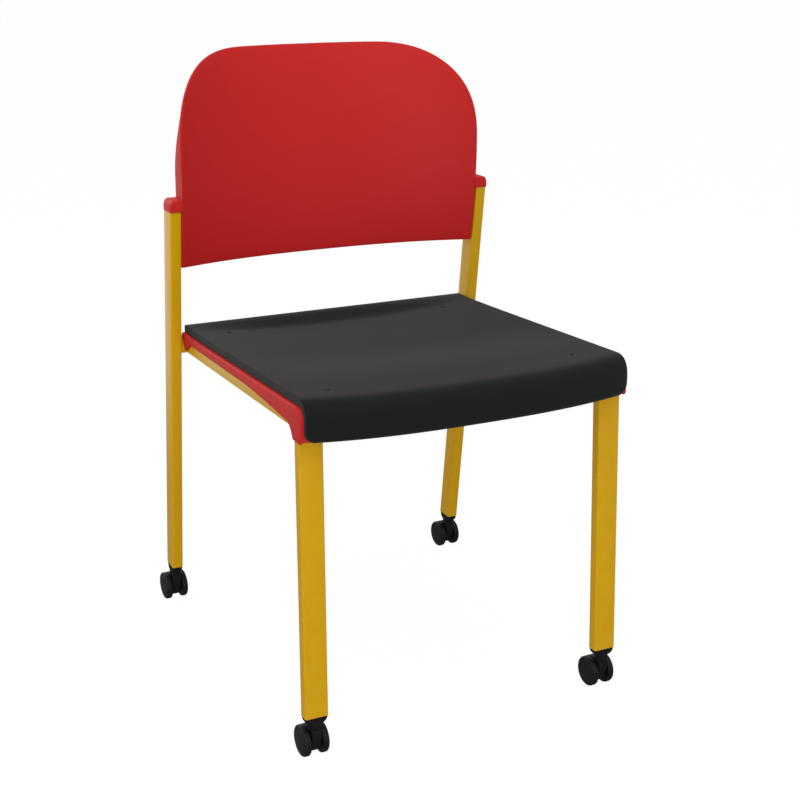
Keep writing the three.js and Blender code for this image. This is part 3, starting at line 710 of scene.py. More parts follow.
SCREW_STEEL = Finish(
    slot="screw_steel",
    colour=(176, 178, 180),
    shade=(150, 152, 156),
    worn=(208, 210, 212),
    roughness=0.38,
    roughness_change=0.07,
    grain_scale=2500,
    grain_depth=0.00001,
    pebble=0.3,
    specular=0.5,
    metallic=1.0,
)


def put(piece: bpy.types.Object, body: str, finish: Finish, *nodes: str) -> None:
    """Dresses a piece, has it stand for its solids and lets it ride on its body.

    Args:
        piece: Finished piece.
        body: Body that carries it.
        finish: Its finish.
        *nodes: Solids that it stands for.
    """
    finish.dress(piece)
    if nodes:
        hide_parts(*nodes)
    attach(piece, body)
    LOG.info("%s: %d faces, rides on %s", piece.name, len(piece.data.polygons), body)


# Frame


@dataclass
class FlatTube:
    """Section of the frame's flat tube."""

    wide: float = 30
    thin: float = 15
    wall: float = 1.5
    corner: float = 1.7
    seam: float = 0.3

    def outside(self, width: float, height: float) -> list[Pair]:
        """Outer outline, its sides given for each direction."""
        return rounded_section(width, height, self.corner)

    def inside(self, width: float, height: float) -> list[Pair]:
        """Inner outline, its outer sides given for each direction."""
        return rounded_section(width - 2 * self.wall, height - 2 * self.wall, self.corner - self.wall)


@dataclass
class CrossTube:
    """Round tubes between the sides."""

    radius: float = 12.5
    wall: float = 1.5
    rear_y: float = 197.5
    rear_height: float = 409.7
    front_y: float = -110
    front_drop: float = 5
    sides: int = 64
    bead: float = 0.8
    bead_inset: float = 0.5
    bead_swell_share: float = 0.12
    bead_ripples: int = 17
    bead_steps: int = 10

    def build(self, name: str, half: float, y: float, z: float, weld: bool) -> None:
        """Makes one cross tube.

        Args:
            name: Node that the tube stands for.
            half: Half its length.
            y: Place of its axis from front to rear.
            z: Height of its axis.
            weld: Whether weld beads show at its ends.
        """
        shape = Shape()
        outer, inner = self.radius, self.radius - self.wall
        profile = [(outer, -half), (outer, half), (inner, half), (inner, -half), (outer, -half)]
        shape.lathe(profile, self.sides, lambda a, b, h: (h, y + a, z + b))
        if weld:
            for side in (-1, 1):
                shape.loft(self.bead_rings(side * (half - self.bead_inset), y, z), looped=True)
        put(shape.to_object("visual_" + name), "chair", YELLOW_COAT, name)

    def bead_rings(self, end: float, y: float, z: float) -> list[list[Spot]]:
        """Rippled weld bead round one end of the tube.

        Args:
            end: Place of the bead along the tube.
            y: Place of the tube's axis from front to rear.
            z: Height of the tube's axis.

        Returns:
            Small round sections, one for each direction round the tube.
        """
        rings = []
        for a in spread(0, 2 * math.pi, self.sides)[:-1]:
            swell = 1 + self.bead_swell_share * math.sin(self.bead_ripples * a)
            ring = arc((self.radius, end), self.bead * swell, 0, 2 * math.pi, self.bead_steps)[:-1]
            rings.append([(x, y + r * math.cos(a), z + r * math.sin(a)) for r, x in ring])
        return rings


@dataclass
class SideFrame:
    """Front leg and side rail, one bent flat tube on each side."""

    tube: FlatTube = field(default_factory=FlatTube)
    cross: CrossTube = field(default_factory=CrossTube)
    foot_height: float = 57.5
    rail_x: float = 200.25
    foot_spread: float = 3.75
    foot_front_y: float = -252.6
    rake: float = math.radians(1.76)
    slope: float = math.radians(2.6)
    rear_centre_height: float = 408.4
    bend_radius: float = 20
    bend_steps: int = 28
    cope_margin: float = 0.1
    cope_gap_share: float = 1 / 3
    bead: float = 0.7
    bead_swell: float = 0.08
    bead_ripple: float = 2.1
    bead_setback: float = 0.2
    bead_steps: int = 8

    def rail_centre(self, y: float) -> float:
        """Height of the rail's centre line."""
        return self.rear_centre_height + math.tan(self.slope) * (self.cross.rear_y - y)

    def knee(self) -> Pair:
        """Finds where the centre lines of leg and rail would cross.

        Returns:
            Its place from front to rear and its height.
        """
        leg_y = self.foot_front_y + self.tube.thin / 2
        rise = self.rail_centre(leg_y) - self.foot_height
        z = self.foot_height + rise / (1 + math.tan(self.slope) * math.tan(self.rake))
        return leg_y + math.tan(self.rake) * (z - self.foot_height), z

    @property
    def leg_x(self) -> float:
        """Distance of the leg's foot from the middle."""
        return self.rail_x + self.foot_spread

    def rail_matrix(self, side: int, y: float) -> Matrix:
        """Places a screw that stands across the rail."""
        turn = rotation(-self.slope, "X")
        return Matrix.Translation((side * self.rail_x, y, self.rail_centre(y))) @ turn

    def stations(self) -> list[tuple[float, float, float, Vector]]:
        """Follows the bent tube from the foot to the rail's end.

        Returns:
            Place from front to rear, height, share of the splay and direction of the section, one
            for each station.
        """
        turn = math.pi / 2 + self.slope - self.rake
        run = self.bend_radius * math.tan(turn / 2)
        up = Vector((math.sin(self.rake), math.cos(self.rake)))
        ahead = Vector((-math.cos(self.rake), math.sin(self.rake)))
        corner = Vector(self.knee())
        start = corner - up * run
        centre = start - ahead * self.bend_radius
        listed = [(self.foot_front_y + self.tube.thin / 2, self.foot_height, 1.0, Vector((-1, 0)))]
        for a in spread(0, turn, self.bend_steps):
            spoke = ahead * math.cos(a) + up * math.sin(a)
            spot = centre + spoke * self.bend_radius
            listed.append((spot.x, spot.y, 0.0, spoke))
        end = self.cross.rear_y - self.cross.radius - self.tube.seam
        listed.append((end, self.rail_centre(end), 0.0, Vector((0, 1))))
        return listed

    def build(self, side: int, word: str) -> None:
        """Makes the bent tube of one side, coped onto the rear cross tube and welded there.

        Args:
            side: -1 for the left side, 1 for the right one.
            word: The side's name.
        """
        shape = Shape()
        outer, inner = [], []
        listed = self.stations()
        for place, (y, z, share, normal) in enumerate(listed):
            x = side * (self.rail_x + self.foot_spread * share)
            for rings, section in (
                (outer, self.tube.outside(self.tube.thin, self.tube.wide)),
                (inner, self.tube.inside(self.tube.thin, self.tube.wide)),
            ):
                ring = [(x + v, y + normal.x * u, z + normal.y * u) for u, v in section]
                if place == len(listed) - 1:
                    ring = [self.coped(spot) for spot in ring]
                rings.append(ring)
        shape.loft(outer + inner[::-1], looped=True)
        bead = [(x, y - self.bead_setback, z) for x, y, z in outer[-1]]
        shape.loft(self.bead_rings(bead), looped=True)
        name = f"{word}_side_frame"
        put(shape.to_object("visual_" + name), "chair", YELLOW_COAT, name)

    def coped(self, spot: Spot) -> Spot:
        """Moves an end point of the rail onto the rear cross tube.

        Args:
            spot: End point.

        Returns:
            The spot level with it on the cross tube.
        """
        x, _, z = spot
        radius = self.cross.radius
        off = min(radius - self.cope_margin, abs(z - self.cross.rear_height))
        gap = self.tube.seam * self.cope_gap_share
        return x, self.cross.rear_y - math.sqrt(radius**2 - off**2) - gap, z

    def bead_rings(self, path: Sequence[Spot]) -> list[list[Spot]]:
        """Weld bead along a closed path.

        Args:
            path: Middle of the bead.

        Returns:
            Small round sections, one for each point of the path.
        """
        middle = sum((Vector(p) for p in path), Vector()) / len(path)
        rings = []
        for k, spot in enumerate(path):
            ahead = (Vector(path[(k + 1) % len(path)]) - Vector(path[k - 1])).normalized()
            outward = Vector(spot) - middle
            outward = (outward - ahead * outward.dot(ahead)).normalized()
            along = ahead.cross(outward)
            size = self.bead + self.bead_swell * math.sin(self.bead_ripple * k)
            section = arc((0, 0), size, 0, 2 * math.pi, self.bead_steps)[:-1]
            rings.append([tuple(Vector(spot) + outward * u + along * v) for u, v in section])
        return rings


@dataclass
class Upright:
    """Rear upright of flat tube, which leans forward as it rises."""

    tube: FlatTube = field(default_factory=FlatTube)
    foot_outer_x: float = 236
    foot_front_y: float = 232.5
    foot_height: float = 57.5
    lean: float = math.radians(8.1)
    top: float = 601.8
    steps: int = 12

    @property
    def long(self) -> float:
        """Level length of the leaning section."""
        return self.tube.wide / math.cos(self.lean)

    @property
    def inner_x(self) -> float:
        """Distance of the inner face from the middle."""
        return self.foot_outer_x - self.tube.thin

    def centre_y(self, z: float) -> float:
        """Place of the centre line at a height."""
        return self.foot_front_y + self.long / 2 - math.tan(self.lean) * (z - self.foot_height)

    def build(self, side: int, word: str) -> None:
        """Makes the upright of one side.

        Args:
            side: -1 for the left side, 1 for the right one.
            word: The side's name.
        """
        shape = Shape()
        middle = side * (self.inner_x + self.tube.thin / 2)

        def ring(section: Sequence[Pair], z: float) -> list[Spot]:
            """Level section at a height."""
            return [(middle + u, self.centre_y(z) + v, z) for u, v in section]

        heights = spread(self.foot_height, self.top, self.steps)
        outer = [ring(self.tube.outside(self.tube.thin, self.long), z) for z in heights]
        inner = [ring(self.tube.inside(self.tube.thin, self.long), z) for z in heights]
        shape.loft(outer + inner[::-1], looped=True)
        name = f"{word}_upright"
        put(shape.to_object("visual_" + name), "chair", YELLOW_COAT, name)


# Seat


@dataclass
class SeatForm:
    """Surface that the pad and the shell share."""

    half_width: float = 213
    rear_y: float = 192
    front_y: float = -280
    corner_bow: float = 19.3
    bow_power: float = 2.6
    rear_edge_height: float = 436.2
    slope: float = math.radians(3.13)
    nose_depth: float = 24
    nose_height: float = 27
    nose_power: float = 2.5
    hem_height: float = 408.4
    hem_lift: float = 1.7
    dish_depth: float = 15
    dish_front_setback: float = 80
    dish_front_share: float = 0.2
    dish_deep_y: float = -10
    dish_rear_share: float = 0.36
    dish_power: float = 2.4
    lip_width: float = 34
    lip_crest: float = 6
    lip_rise: float = 1.9
    lip_reach: float = 30
    edge_radius: float = 1.5
    edge_steps: int = 4
    edge_reach: float = 1.6
    rear_steps: int = 14
    top_steps: int = 42
    nose_steps: int = 18
    seam: float = 0.3

    def edge(self, y: float) -> float:
        """Height of the side edge."""
        return self.rear_edge_height + math.tan(self.slope) * (self.rear_y - y)

    def front(self, x: float) -> float:
        """Front of the seat at a distance from the middle."""
        return self.front_y + self.corner_bow * abs(x / self.half_width) ** self.bow_power

    def hem(self, x: float) -> float:
        """Height of the nose's lower end at a distance from the middle."""
        return self.hem_height + self.hem_lift * abs(x / self.half_width) ** self.bow_power

    def dish(self, x: float, y: float) -> float:
        """Depth of the top below the side edges.

        Args:
            x: Distance from the middle.
            y: Place from front to rear.

        Returns:
            The depth, below 0 where the rear lip rises over the edges.
        """
        across = 1 - min(1, abs(x / self.half_width)) ** self.dish_power
        crest = self.rear_y - self.lip_crest
        ahead = smooth_ramp(y, self.front(x) + self.dish_front_setback, self.dish_deep_y)
        along = self.dish_front_share + (1 - self.dish_front_share) * ahead
        gentle = min(1, max(0, (y - self.dish_deep_y) / (crest - self.dish_deep_y))) ** 2
        steep = smooth_ramp(y, crest - self.lip_width, crest)
        lip = 1 - self.dish_rear_share * gentle - (1 - self.dish_rear_share) * steep
        return self.dish_depth * across * along * lip - self.lip_rise * (1 - lip)

    def top(self, x: float, y: float) -> float:
        """Height of the top surface."""
        return self.edge(y) - self.dish(x, y)

    def profile(self, x: float, top_inset: float, nose_inset: float, rear_edge: float) -> list[Spot]:
        """Surface line at x, from the rear edge over the top and round the nose.

        Args:
            x: Distance from the middle.
            top_inset: How far the line lies under the top.
            nose_inset: How far it lies behind the nose.
            rear_edge: Radius of the rear edge, or 0 for none.

        Returns:
            The spots of the line, the last one level with the nose's lower end.
        """
        inside = math.copysign(min(abs(x), self.half_width), x)
        nose_y = self.front(inside) + self.nose_depth
        flat_y = self.rear_y - self.lip_crest - self.lip_width - self.lip_reach
        points = []
        for a in spread(0, math.pi / 2, self.edge_steps)[:-1]:
            y = self.rear_y - rear_edge * (1 - math.cos(a))
            drop = rear_edge * (1 - math.sin(a))
            points.append((x, y, self.top(inside, y) - top_inset - drop))
        places = spread(self.rear_y - self.edge_reach, flat_y, self.rear_steps)
        places += spread(flat_y, nose_y, self.top_steps)[1:]
        points += [(x, y, self.top(inside, y) - top_inset) for y in places]
        depth, rise = self.nose_depth - nose_inset, self.nose_height - top_inset
        centre = self.top(inside, nose_y) - self.nose_height
        power = 2 / self.nose_power
        for a in spread(math.pi / 2, 0, self.nose_steps)[1:]:
            points.append((x, nose_y - depth * math.cos(a) ** power, centre + rise * math.sin(a) ** power))
        return points


@dataclass
class SeatPad:
    """Black pad: a grained skin with soft edges and four small dimples."""

    form: SeatForm = field(default_factory=SeatForm)
    thick: float = 9.7
    nose_thick: float = 7.7
    lower_corner: float = 11
    soft_edge: float = 1.2
    columns: int = 46
    corner_steps: int = 4
    soft_steps: int = 5
    hem_steps: int = 7
    drop_steps: int = 4
    sharp: float = 50
    dimple_radius: float = 2.0
    dimple_depth: float = 1.1
    dimple_floor_share: float = 0.6
    dimple_wall_share: float = 0.5
    dimple_sides: int = 20
    cutter_rise: float = 3
    dimples: tuple[Pair, ...] = ((-166, 140), (160.5, 140), (-169.4, -220.7), (157.4, -216.9))

    def column_places(self) -> list[Pair]:
        """Places the pad's columns across the seat.

        Returns:
            Distance from the middle and inset by the soft edge, one pair for each column.
        """
        half, soft = self.form.half_width, self.soft_edge
        corner = half - self.lower_corner
        right = [(x, 0.0) for x in spread(0, corner, self.columns // 2)]
        right += [(x, 0.0) for x in spread(corner, half - soft, self.corner_steps)[1:]]
        for a in spread(0, math.pi / 2, self.soft_steps)[1:]:
            right.append((half - soft * (1 - math.sin(a)), soft * (1 - math.cos(a))))
        return [(-x, inset) for x, inset in reversed(right[1:])] + right

    def lift(self, x: float) -> float:
        """Rise of the hem in the rounded lower corners."""
        into = max(0.0, abs(x) - (self.form.half_width - self.lower_corner))
        return self.lower_corner - math.sqrt(max(0.0, self.lower_corner**2 - into**2))

    def line(self, x: float, inset: float, inner: bool) -> list[Spot]:
        """Outer or inner line of the pad at x.

        Args:
            x: Distance from the middle.
            inset: How far the soft edge draws the outer line in.
            inner: Whether the inner line is meant.

        Returns:
            The spots of the line, hem included.
        """
        top = self.thick if inner else inset
        nose = self.nose_thick if inner else inset
        points = self.form.profile(x, top, nose, 0.0 if inner else self.form.edge_radius)
        inside = math.copysign(min(abs(x), self.form.half_width), x)
        radius = 0.0 if inner else self.nose_thick - inset
        y = self.form.front(inside) + self.nose_thick
        z = self.form.hem(inside) + self.lift(x) + self.nose_thick
        last = points[-1]
        points += [(x, last[1], last[2] + (z - last[2]) * t) for t in spread(0, 1, self.drop_steps)[1:-1]]
        quarter = spread(0, math.pi / 2, self.hem_steps)
        points += [(x, y - radius * math.cos(a), z - radius * math.sin(a)) for a in quarter]
        return points

    def build(self) -> None:
        """Makes the pad and sinks its dimples."""
        shape = Shape()
        places = self.column_places()
        outer = [self.line(x, inset, False) for x, inset in places]
        inner = [self.line(x, inset, True) for x, inset in places]
        shape.sheet(outer, inner)
        pad = shape.to_object("visual_seat_pad", self.sharp)
        self.sink_dimples(pad)
        put(pad, "chair", BLACK_PAD, "seat_pad")

    def sink_dimples(self, pad: bpy.types.Object) -> None:
        """Cuts the dimples into the pad's top.

        Args:
            pad: Pad that gets them.
        """
        cutter = Shape()
        radius, depth = self.dimple_radius, self.dimple_depth
        for x, y in self.dimples:
            z = self.form.top(x, y)
            low, shoulder, high = z - depth, z - depth * self.dimple_wall_share, z + self.cutter_rise
            profile = [(0, low), (radius * self.dimple_floor_share, low), (radius, shoulder)]
            profile += [(radius, high), (0, high)]
            cutter.lathe(profile, self.dimple_sides, lambda a, b, h, x=x, y=y: (x + a, y + b, h))
        tool = cutter.to_object("dimple_cutter")
        cut = pad.modifiers.new("dimples", "BOOLEAN")
        cut.object, cut.operation, cut.solver = tool, "DIFFERENCE", "EXACT"
        bpy.context.view_layer.update()
        done = bpy.data.meshes.new_from_object(pad.evaluated_get(bpy.context.evaluated_depsgraph_get()))
        pad.modifiers.clear()
        pad.data = done
        bpy.data.objects.remove(tool)


@dataclass
class SeatShell:
    """Red shell: a skin under the pad, a flange on each rail and a skirt outside it."""

    form: SeatForm = field(default_factory=SeatForm)
    pad: SeatPad = field(default_factory=SeatPad)
    side: SideFrame = field(default_factory=SideFrame)
    thick: float = 4
    half_width: float = 216
    skin_recess: float = 0.4
    skin_inset: float = 0.4
    flange_inset: float = 0.6
    flange_inner_x: float = 184
    flange_front: float = 73
    flange_rear: float = 32
    flange_steps: int = 24
    flange_columns: int = 4
    skirt_thick: float = 2.5
    skirt_edge: float = 2.2
    skirt_edge_steps: int = 4
    skirt_spacing: float = 7
    sharp: float = 42
    rail_lap: float = 10.8
    knee_height: float = 427.2
    knee_y: float = -70
    throat_height: float = 424.1
    throat_y: float = -211
    leg_lap_y: float = -227.5
    foot: float = 407.2
    corner_radius: float = 5
    corner_steps: int = 8
    heel: float = 3
    heel_lean_share: float = 1 / 8
    heel_steps: int = 5
    curve_steps: int = 10
    edge_steps: int = 20
    tab_rear_y: float = 192
    tab_margin: float = 0.5
    tab_tip: float = 405.4
    tab_tip_y: float = 180.2
    tab_tip_wide: float = 6
    tab_notch_y: float = 156

    def skirt_outline(self) -> list[Pair]:
        """Draws a skirt in the side view.

        Returns:
            Its outline, from the rear along the pad to the front corner and back under the rail.
        """
        form, pad = self.form, self.pad
        top, nose = pad.thick + form.seam, pad.nose_thick + form.seam
        line = form.profile(form.half_width, top, nose, 0.0)
        outline = [(self.tab_rear_y, form.edge(self.tab_rear_y) - top)]
        outline += [(y, z) for _, y, z in line if y < self.tab_rear_y - self.tab_margin]
        radius = self.corner_radius
        corner = (form.front(form.half_width) + nose + radius, self.foot + radius)
        outline += arc(corner, radius, math.pi, 1.5 * math.pi, self.corner_steps)
        throat, knee = (self.throat_y, self.throat_height), (self.knee_y, self.knee_height)
        heel = (self.leg_lap_y + self.heel * self.heel_lean_share, self.foot + self.heel)
        toe, sole = (self.leg_lap_y, self.foot), (self.leg_lap_y - self.heel, self.foot)
        outline += quadratic(sole, toe, heel, self.heel_steps)
        bend = (self.leg_lap_y + (throat[0] - self.leg_lap_y) / 2, throat[1])
        outline += quadratic(heel, bend, throat, self.curve_steps)
        bend = (throat[0] + (knee[0] - throat[0]) / 2, knee[1])
        outline += quadratic(throat, bend, knee, self.curve_steps)
        notch = (self.tab_notch_y, form.edge(self.tab_notch_y) - pad.thick - self.rail_lap)
        run, rise = notch[0] - knee[0], notch[1] - knee[1]
        outline += [(knee[0] + run * t, knee[1] + rise * t) for t in spread(0, 1, self.edge_steps)[1:]]
        outline += [(self.tab_tip_y - self.tab_tip_wide, self.tab_tip), (self.tab_tip_y, self.tab_tip)]
        return outline

    def build(self) -> None:
        """Makes the shell as one object of skin, flanges and skirts."""
        shape = Shape()
        self.add_skin(shape)
        inner = self.side.rail_x + self.side.tube.wide / 2 + self.form.seam
        outer = inner + self.skirt_thick
        outline = self.skirt_outline()
        for side in (-1, 1):
            shape.plate(
                outline,
                lambda u, v, d, side=side: (side * (outer - d), u, v),
                self.skirt_thick,
                self.skirt_edge,
                self.skirt_spacing,
                self.skirt_edge_steps,
                square_rear=True,
            )
            self.add_flange(shape, side)
        put(shape.to_object("visual_seat_shell", self.sharp), "chair", RED_MOULDED, "seat_shell")

    def add_skin(self, shape: Shape) -> None:
        """Adds the skin under the pad.

        Args:
            shape: Shape that gets it.
        """
        form, pad = self.form, self.pad
        top, nose = pad.thick + form.seam, pad.nose_thick + form.seam
        edge = self.half_width - self.skin_inset
        over, under = [], []
        for x in [-edge] + [x for x, _ in pad.column_places()] + [edge]:
            above = form.profile(x, top, nose, 0.0)
            below = form.profile(x, top + self.thick, nose + self.thick, 0.0)
            foot = form.hem(min(abs(x), form.half_width)) + self.skin_recess
            over.append(above + [(x, above[-1][1], foot)])
            under.append(below + [(x, below[-1][1], foot)])
        shape.sheet(over, under)

    def add_flange(self, shape: Shape, side: int) -> None:
        """Adds the thick band that lies on one rail.

        Args:
            shape: Shape that gets it.
            side: -1 for the left side, 1 for the right one.
        """
        form = self.form
        front = form.front(form.half_width) + self.flange_front
        places = spread(front, form.rear_y - self.flange_rear, self.flange_steps)
        skin = self.pad.thick + form.seam + self.thick / 2
        lift = self.side.tube.thin / 2 / math.cos(self.side.slope) + form.seam
        over, under = [], []
        for x in spread(self.flange_inner_x, self.half_width - self.flange_inset, self.flange_columns):
            over.append([(side * x, y, form.top(min(x, form.half_width), y) - skin) for y in places])
            under.append([(side * x, y, self.side.rail_centre(y) + lift) for y in places])
        shape.sheet(over, under)


# Backrest


@dataclass
class Backrest:
    """Red backrest: a concave panel, a rim on each side and a cap over each upright."""

    upright: Upright = field(default_factory=Upright)
    bottom: float = 524
    bottom_bow: float = 0.8
    height: float = 281
    half_width: float = 219
    corner_width: float = 122.8
    corner_height: float = 131.7
    corner_power: float = 2.55
    foot_edge_y: float = 168.8
    foot_lean: float = 0.237
    edge_radius: float = 617
    foot_sag: float = 27
    sag_growth: float = 0.22
    sag_power: float = 2.5
    thick: float = 5.5
    soft_edge: float = 1.2
    soft_edge_steps: int = 4
    lower_corner: float = 1.25
    lower_corner_cut_share: float = 0.3
    lower_corner_steps: int = 4
    bottom_steps: int = 54
    side_steps: int = 20
    corner_steps: int = 44
    top_steps: int = 24
    spacing: float = 7.5
    sharp: float = 38
    rim_thick: float = 3.8
    rim_deep: float = 31
    rim_least: float = 1.6
    rim_inset: float = 1.5
    rim_edge_margin: float = 0.1
    rim_edge_steps: int = 4
    rim_steps: int = 60
    taper_start: float = 647.5
    taper_end: float = 742.5
    rim_setback: float = 1.4
    rim_step: float = 1.5
    rim_step_drop: float = 2
    rim_edge: float = 1.2
    cap_proud: float = 0.5
    cap_high: float = 15.6
    cap_shoulder_wide: float = 6
    cap_shoulder_high: float = 10
    cap_shoulder_steps: int = 12
    cap_edge: float = 1.2
    cap_edge_steps: int = 4
    cap_spacing: float = 4
    cap_overlap: float = 0.5
    hair: float = 0.05

    def front(self, x: float, z: float) -> float:
        """Front surface of the panel.

        Args:
            x: Distance from the middle.
            z: Height above the floor.

        Returns:
            The surface's place from front to rear.
        """
        up = z - self.bottom
        edge = self.foot_edge_y - self.foot_lean * up + up**2 / (2 * self.edge_radius)
        sag = self.foot_sag + self.sag_growth * up
        return edge + sag * (1 - abs(x / self.half_width) ** self.sag_power)

    def half(self, z: float) -> float:
        """Half the panel's width.

        Args:
            z: Height above the floor.

        Returns:
            Distance of the panel's edge from the middle.
        """
        power = self.corner_power
        into = max(0.0, (z - (self.bottom + self.height - self.corner_height)) / self.corner_height)
        return self.half_width - self.corner_width * (1 - (1 - into**power) ** (1 / power))

    def outline(self) -> list[Pair]:
        """Draws the panel in the front view.

        Returns:
            Its outline, anticlockwise from its lower left corner.
        """
        low, small, half = self.bottom, self.lower_corner, self.half_width
        side_top = self.bottom + self.height - self.corner_height
        end = low - self.bottom_bow
        across = spread(-half + small, half - small, self.bottom_steps)
        bottom_line = [(x, low - self.bottom_bow * (x / half) ** 2) for x in across]
        right = arc((half - small, end + small), small, -math.pi / 2, 0, self.lower_corner_steps)[1:]
        right += [(half, z) for z in spread(end + small, side_top, self.side_steps)[1:]]
        power = 2 / self.corner_power
        corner = []
        for a in spread(0, math.pi / 2, self.corner_steps)[1:]:
            rise = min(1.0, math.sin(a)) ** power
            reach = max(0.0, math.cos(a)) ** power
            corner.append((half - self.corner_width * (1 - reach), side_top + self.corner_height * rise))
        top_half = half - self.corner_width
        top_line = [(x, low + self.height) for x in spread(top_half, -top_half, self.top_steps)[1:-1]]
        left = [(-x, z) for x, z in reversed(right[1:] + corner)]
        cut = small * self.lower_corner_cut_share
        return bottom_line + right + corner + top_line + left + [(-half + cut, end + cut)]

    def build(self) -> None:
        """Makes the backrest as one object of panel, rims and caps."""
        shape = Shape()
        shape.plate(
            self.outline(),
            lambda u, v, d: (u, self.front(u, v) + d, v),
            self.thick,
            self.soft_edge,
            self.spacing,
            self.soft_edge_steps,
        )
        for side in (-1, 1):
            self.add_rim(shape, side)
            self.add_cap(shape, side)
        put(shape.to_object("visual_backrest", self.sharp), "chair", RED_MOULDED, "backrest")

    def rim_depth(self, z: float) -> float:
        """Reach of the rim behind the front surface.

        Args:
            z: Height above the floor.

        Returns:
            The full depth beside the upright, which fades to less than the panel's thickness.
        """
        taper = min(1.0, max(0.0, (z - self.taper_start) / (self.taper_end - self.taper_start)))
        faded = self.thick - self.rim_inset
        return faded + (self.rim_deep - faded) * 0.5 * (1 + math.cos(math.pi * taper))

    def rim_ring(self, side: int, z: float, shrink: float) -> list[Spot]:
        """Level section of one rim.

        Args:
            side: -1 for the left rim, 1 for the right one.
            z: Height above the floor.
            shrink: How much smaller it is all round.

        Returns:
            The spots of the section.
        """
        top = self.upright.top
        low_part = 1 - smooth_ramp(z, top - self.rim_step_drop, top + self.cap_high / 2)
        half = self.half(z) - self.hair + self.rim_step * low_part
        near = self.front(min(half, self.half_width), z) + self.rim_setback
        far = self.front(min(half, self.half_width), z) + self.rim_depth(z)
        width, depth, least = self.rim_thick, max(self.rim_least, far - near), self.rim_edge_margin
        radius = max(least, min(self.rim_edge, depth / 2 - least) - shrink)
        section = rounded_section(width - 2 * shrink, depth - 2 * shrink, radius, self.rim_edge_steps)
        return [(side * (half - width / 2 + u), near + depth / 2 + v, z) for u, v in section]

    def add_rim(self, shape: Shape, side: int) -> None:
        """Adds the rim that stands beside one upright.

        Args:
            shape: Shape that gets it.
            side: -1 for the left side, 1 for the right one.
        """
        edge = self.rim_edge
        quarter = spread(0, math.pi / 2, self.rim_edge_steps)
        rings = [(self.bottom + edge * (1 - math.cos(a)), edge * (1 - math.sin(a))) for a in quarter]
        rings += [(z, 0.0) for z in spread(self.bottom + edge, self.taper_end, self.rim_steps)[1:]]
        shape.bar([self.rim_ring(side, z, shrink) for z, shrink in rings])

    def add_cap(self, shape: Shape, side: int) -> None:
        """Adds the cap over one upright's end.

        Args:
            shape: Shape that gets it.
            side: -1 for the left side, 1 for the right one.
        """
        low = self.upright.top + self.upright.tube.seam
        high = low + self.cap_high
        outer = self.upright.foot_outer_x + self.cap_proud
        inner = self.half_width - self.cap_overlap
        wide, tall = self.cap_shoulder_wide, self.cap_shoulder_high
        shoulder = arc((0, 0), 1, 0, math.pi / 2, self.cap_shoulder_steps)
        outline = [(inner, low), (outer, low)]
        outline += [(outer - wide * (1 - x), high - tall * (1 - z)) for x, z in shoulder]
        outline.append((inner, high))
        long = self.upright.long + 2 * self.cap_proud
        near = self.upright.centre_y((low + high) / 2) - long / 2
        shape.plate(
            outline,
            lambda u, v, d: (side * u, near + d, v),
            long,
            self.cap_edge,
            self.cap_spacing,
            self.cap_edge_steps,
        )


# Screws


@dataclass
class Screw:
    """Pan-head screw with a hexagon socket."""

    diameter: float
    head: float
    head_high: float
    shank: float
    socket: float = 1.4
    socket_deep: float = 1.5
    socket_lip: float = 0.15
    socket_flare_share: float = 1.12
    socket_fit_share: float = 0.97
    crown_share: float = 0.4
    crown_steps: int = 6
    tip: float = 0.01
    sides: int = 48
    sharp: float = 35

    def rows(self) -> list[tuple[float, float, bool]]:
        """Lists the screw's rings from the socket's floor over the head to the tip.

        Returns:
            Radius, height and whether the ring is a hexagon, one for each ring.
        """
        r, head, high, base = self.diameter / 2, self.head / 2, self.head_high, 1 - self.crown_share
        rows = [(self.socket, self.socket_deep - high, True), (self.socket, self.socket_lip - high, True)]
        rows.append((self.socket * self.socket_flare_share, -high, True))
        for a in spread(0, math.pi / 2, self.crown_steps):
            radius = head * (base + self.crown_share * math.sin(a))
            rows.append((radius, -high * (base + self.crown_share * math.cos(a)), False))
        rows += [(head, 0, False), (r, 0, False), (r, self.shank - r, False), (self.tip, self.shank, False)]
        return rows

    def build(self, name: str, where: Matrix) -> None:
        """Makes the screw, with its head's seat at the place's origin and its shank along Z.

        Args:
            name: Node that the screw stands for.
            where: Place and direction of the screw, in millimetres.
        """
        shape = Shape()
        rings = []
        sixth = math.pi / 3
        for radius, z, hexagon in self.rows():
            ring = []
            for k in range(self.sides):
                turn = 2 * math.pi * k / self.sides
                reach = radius
                if hexagon:
                    reach = radius / math.cos(turn % sixth - sixth / 2) * self.socket_fit_share
                ring.append(tuple(where @ Vector((reach * math.cos(turn), reach * math.sin(turn), z))))
            rings.append(ring)
        shape.bar(rings)
        put(shape.to_object("visual_" + name, self.sharp), "chair", SCREW_STEEL, name)


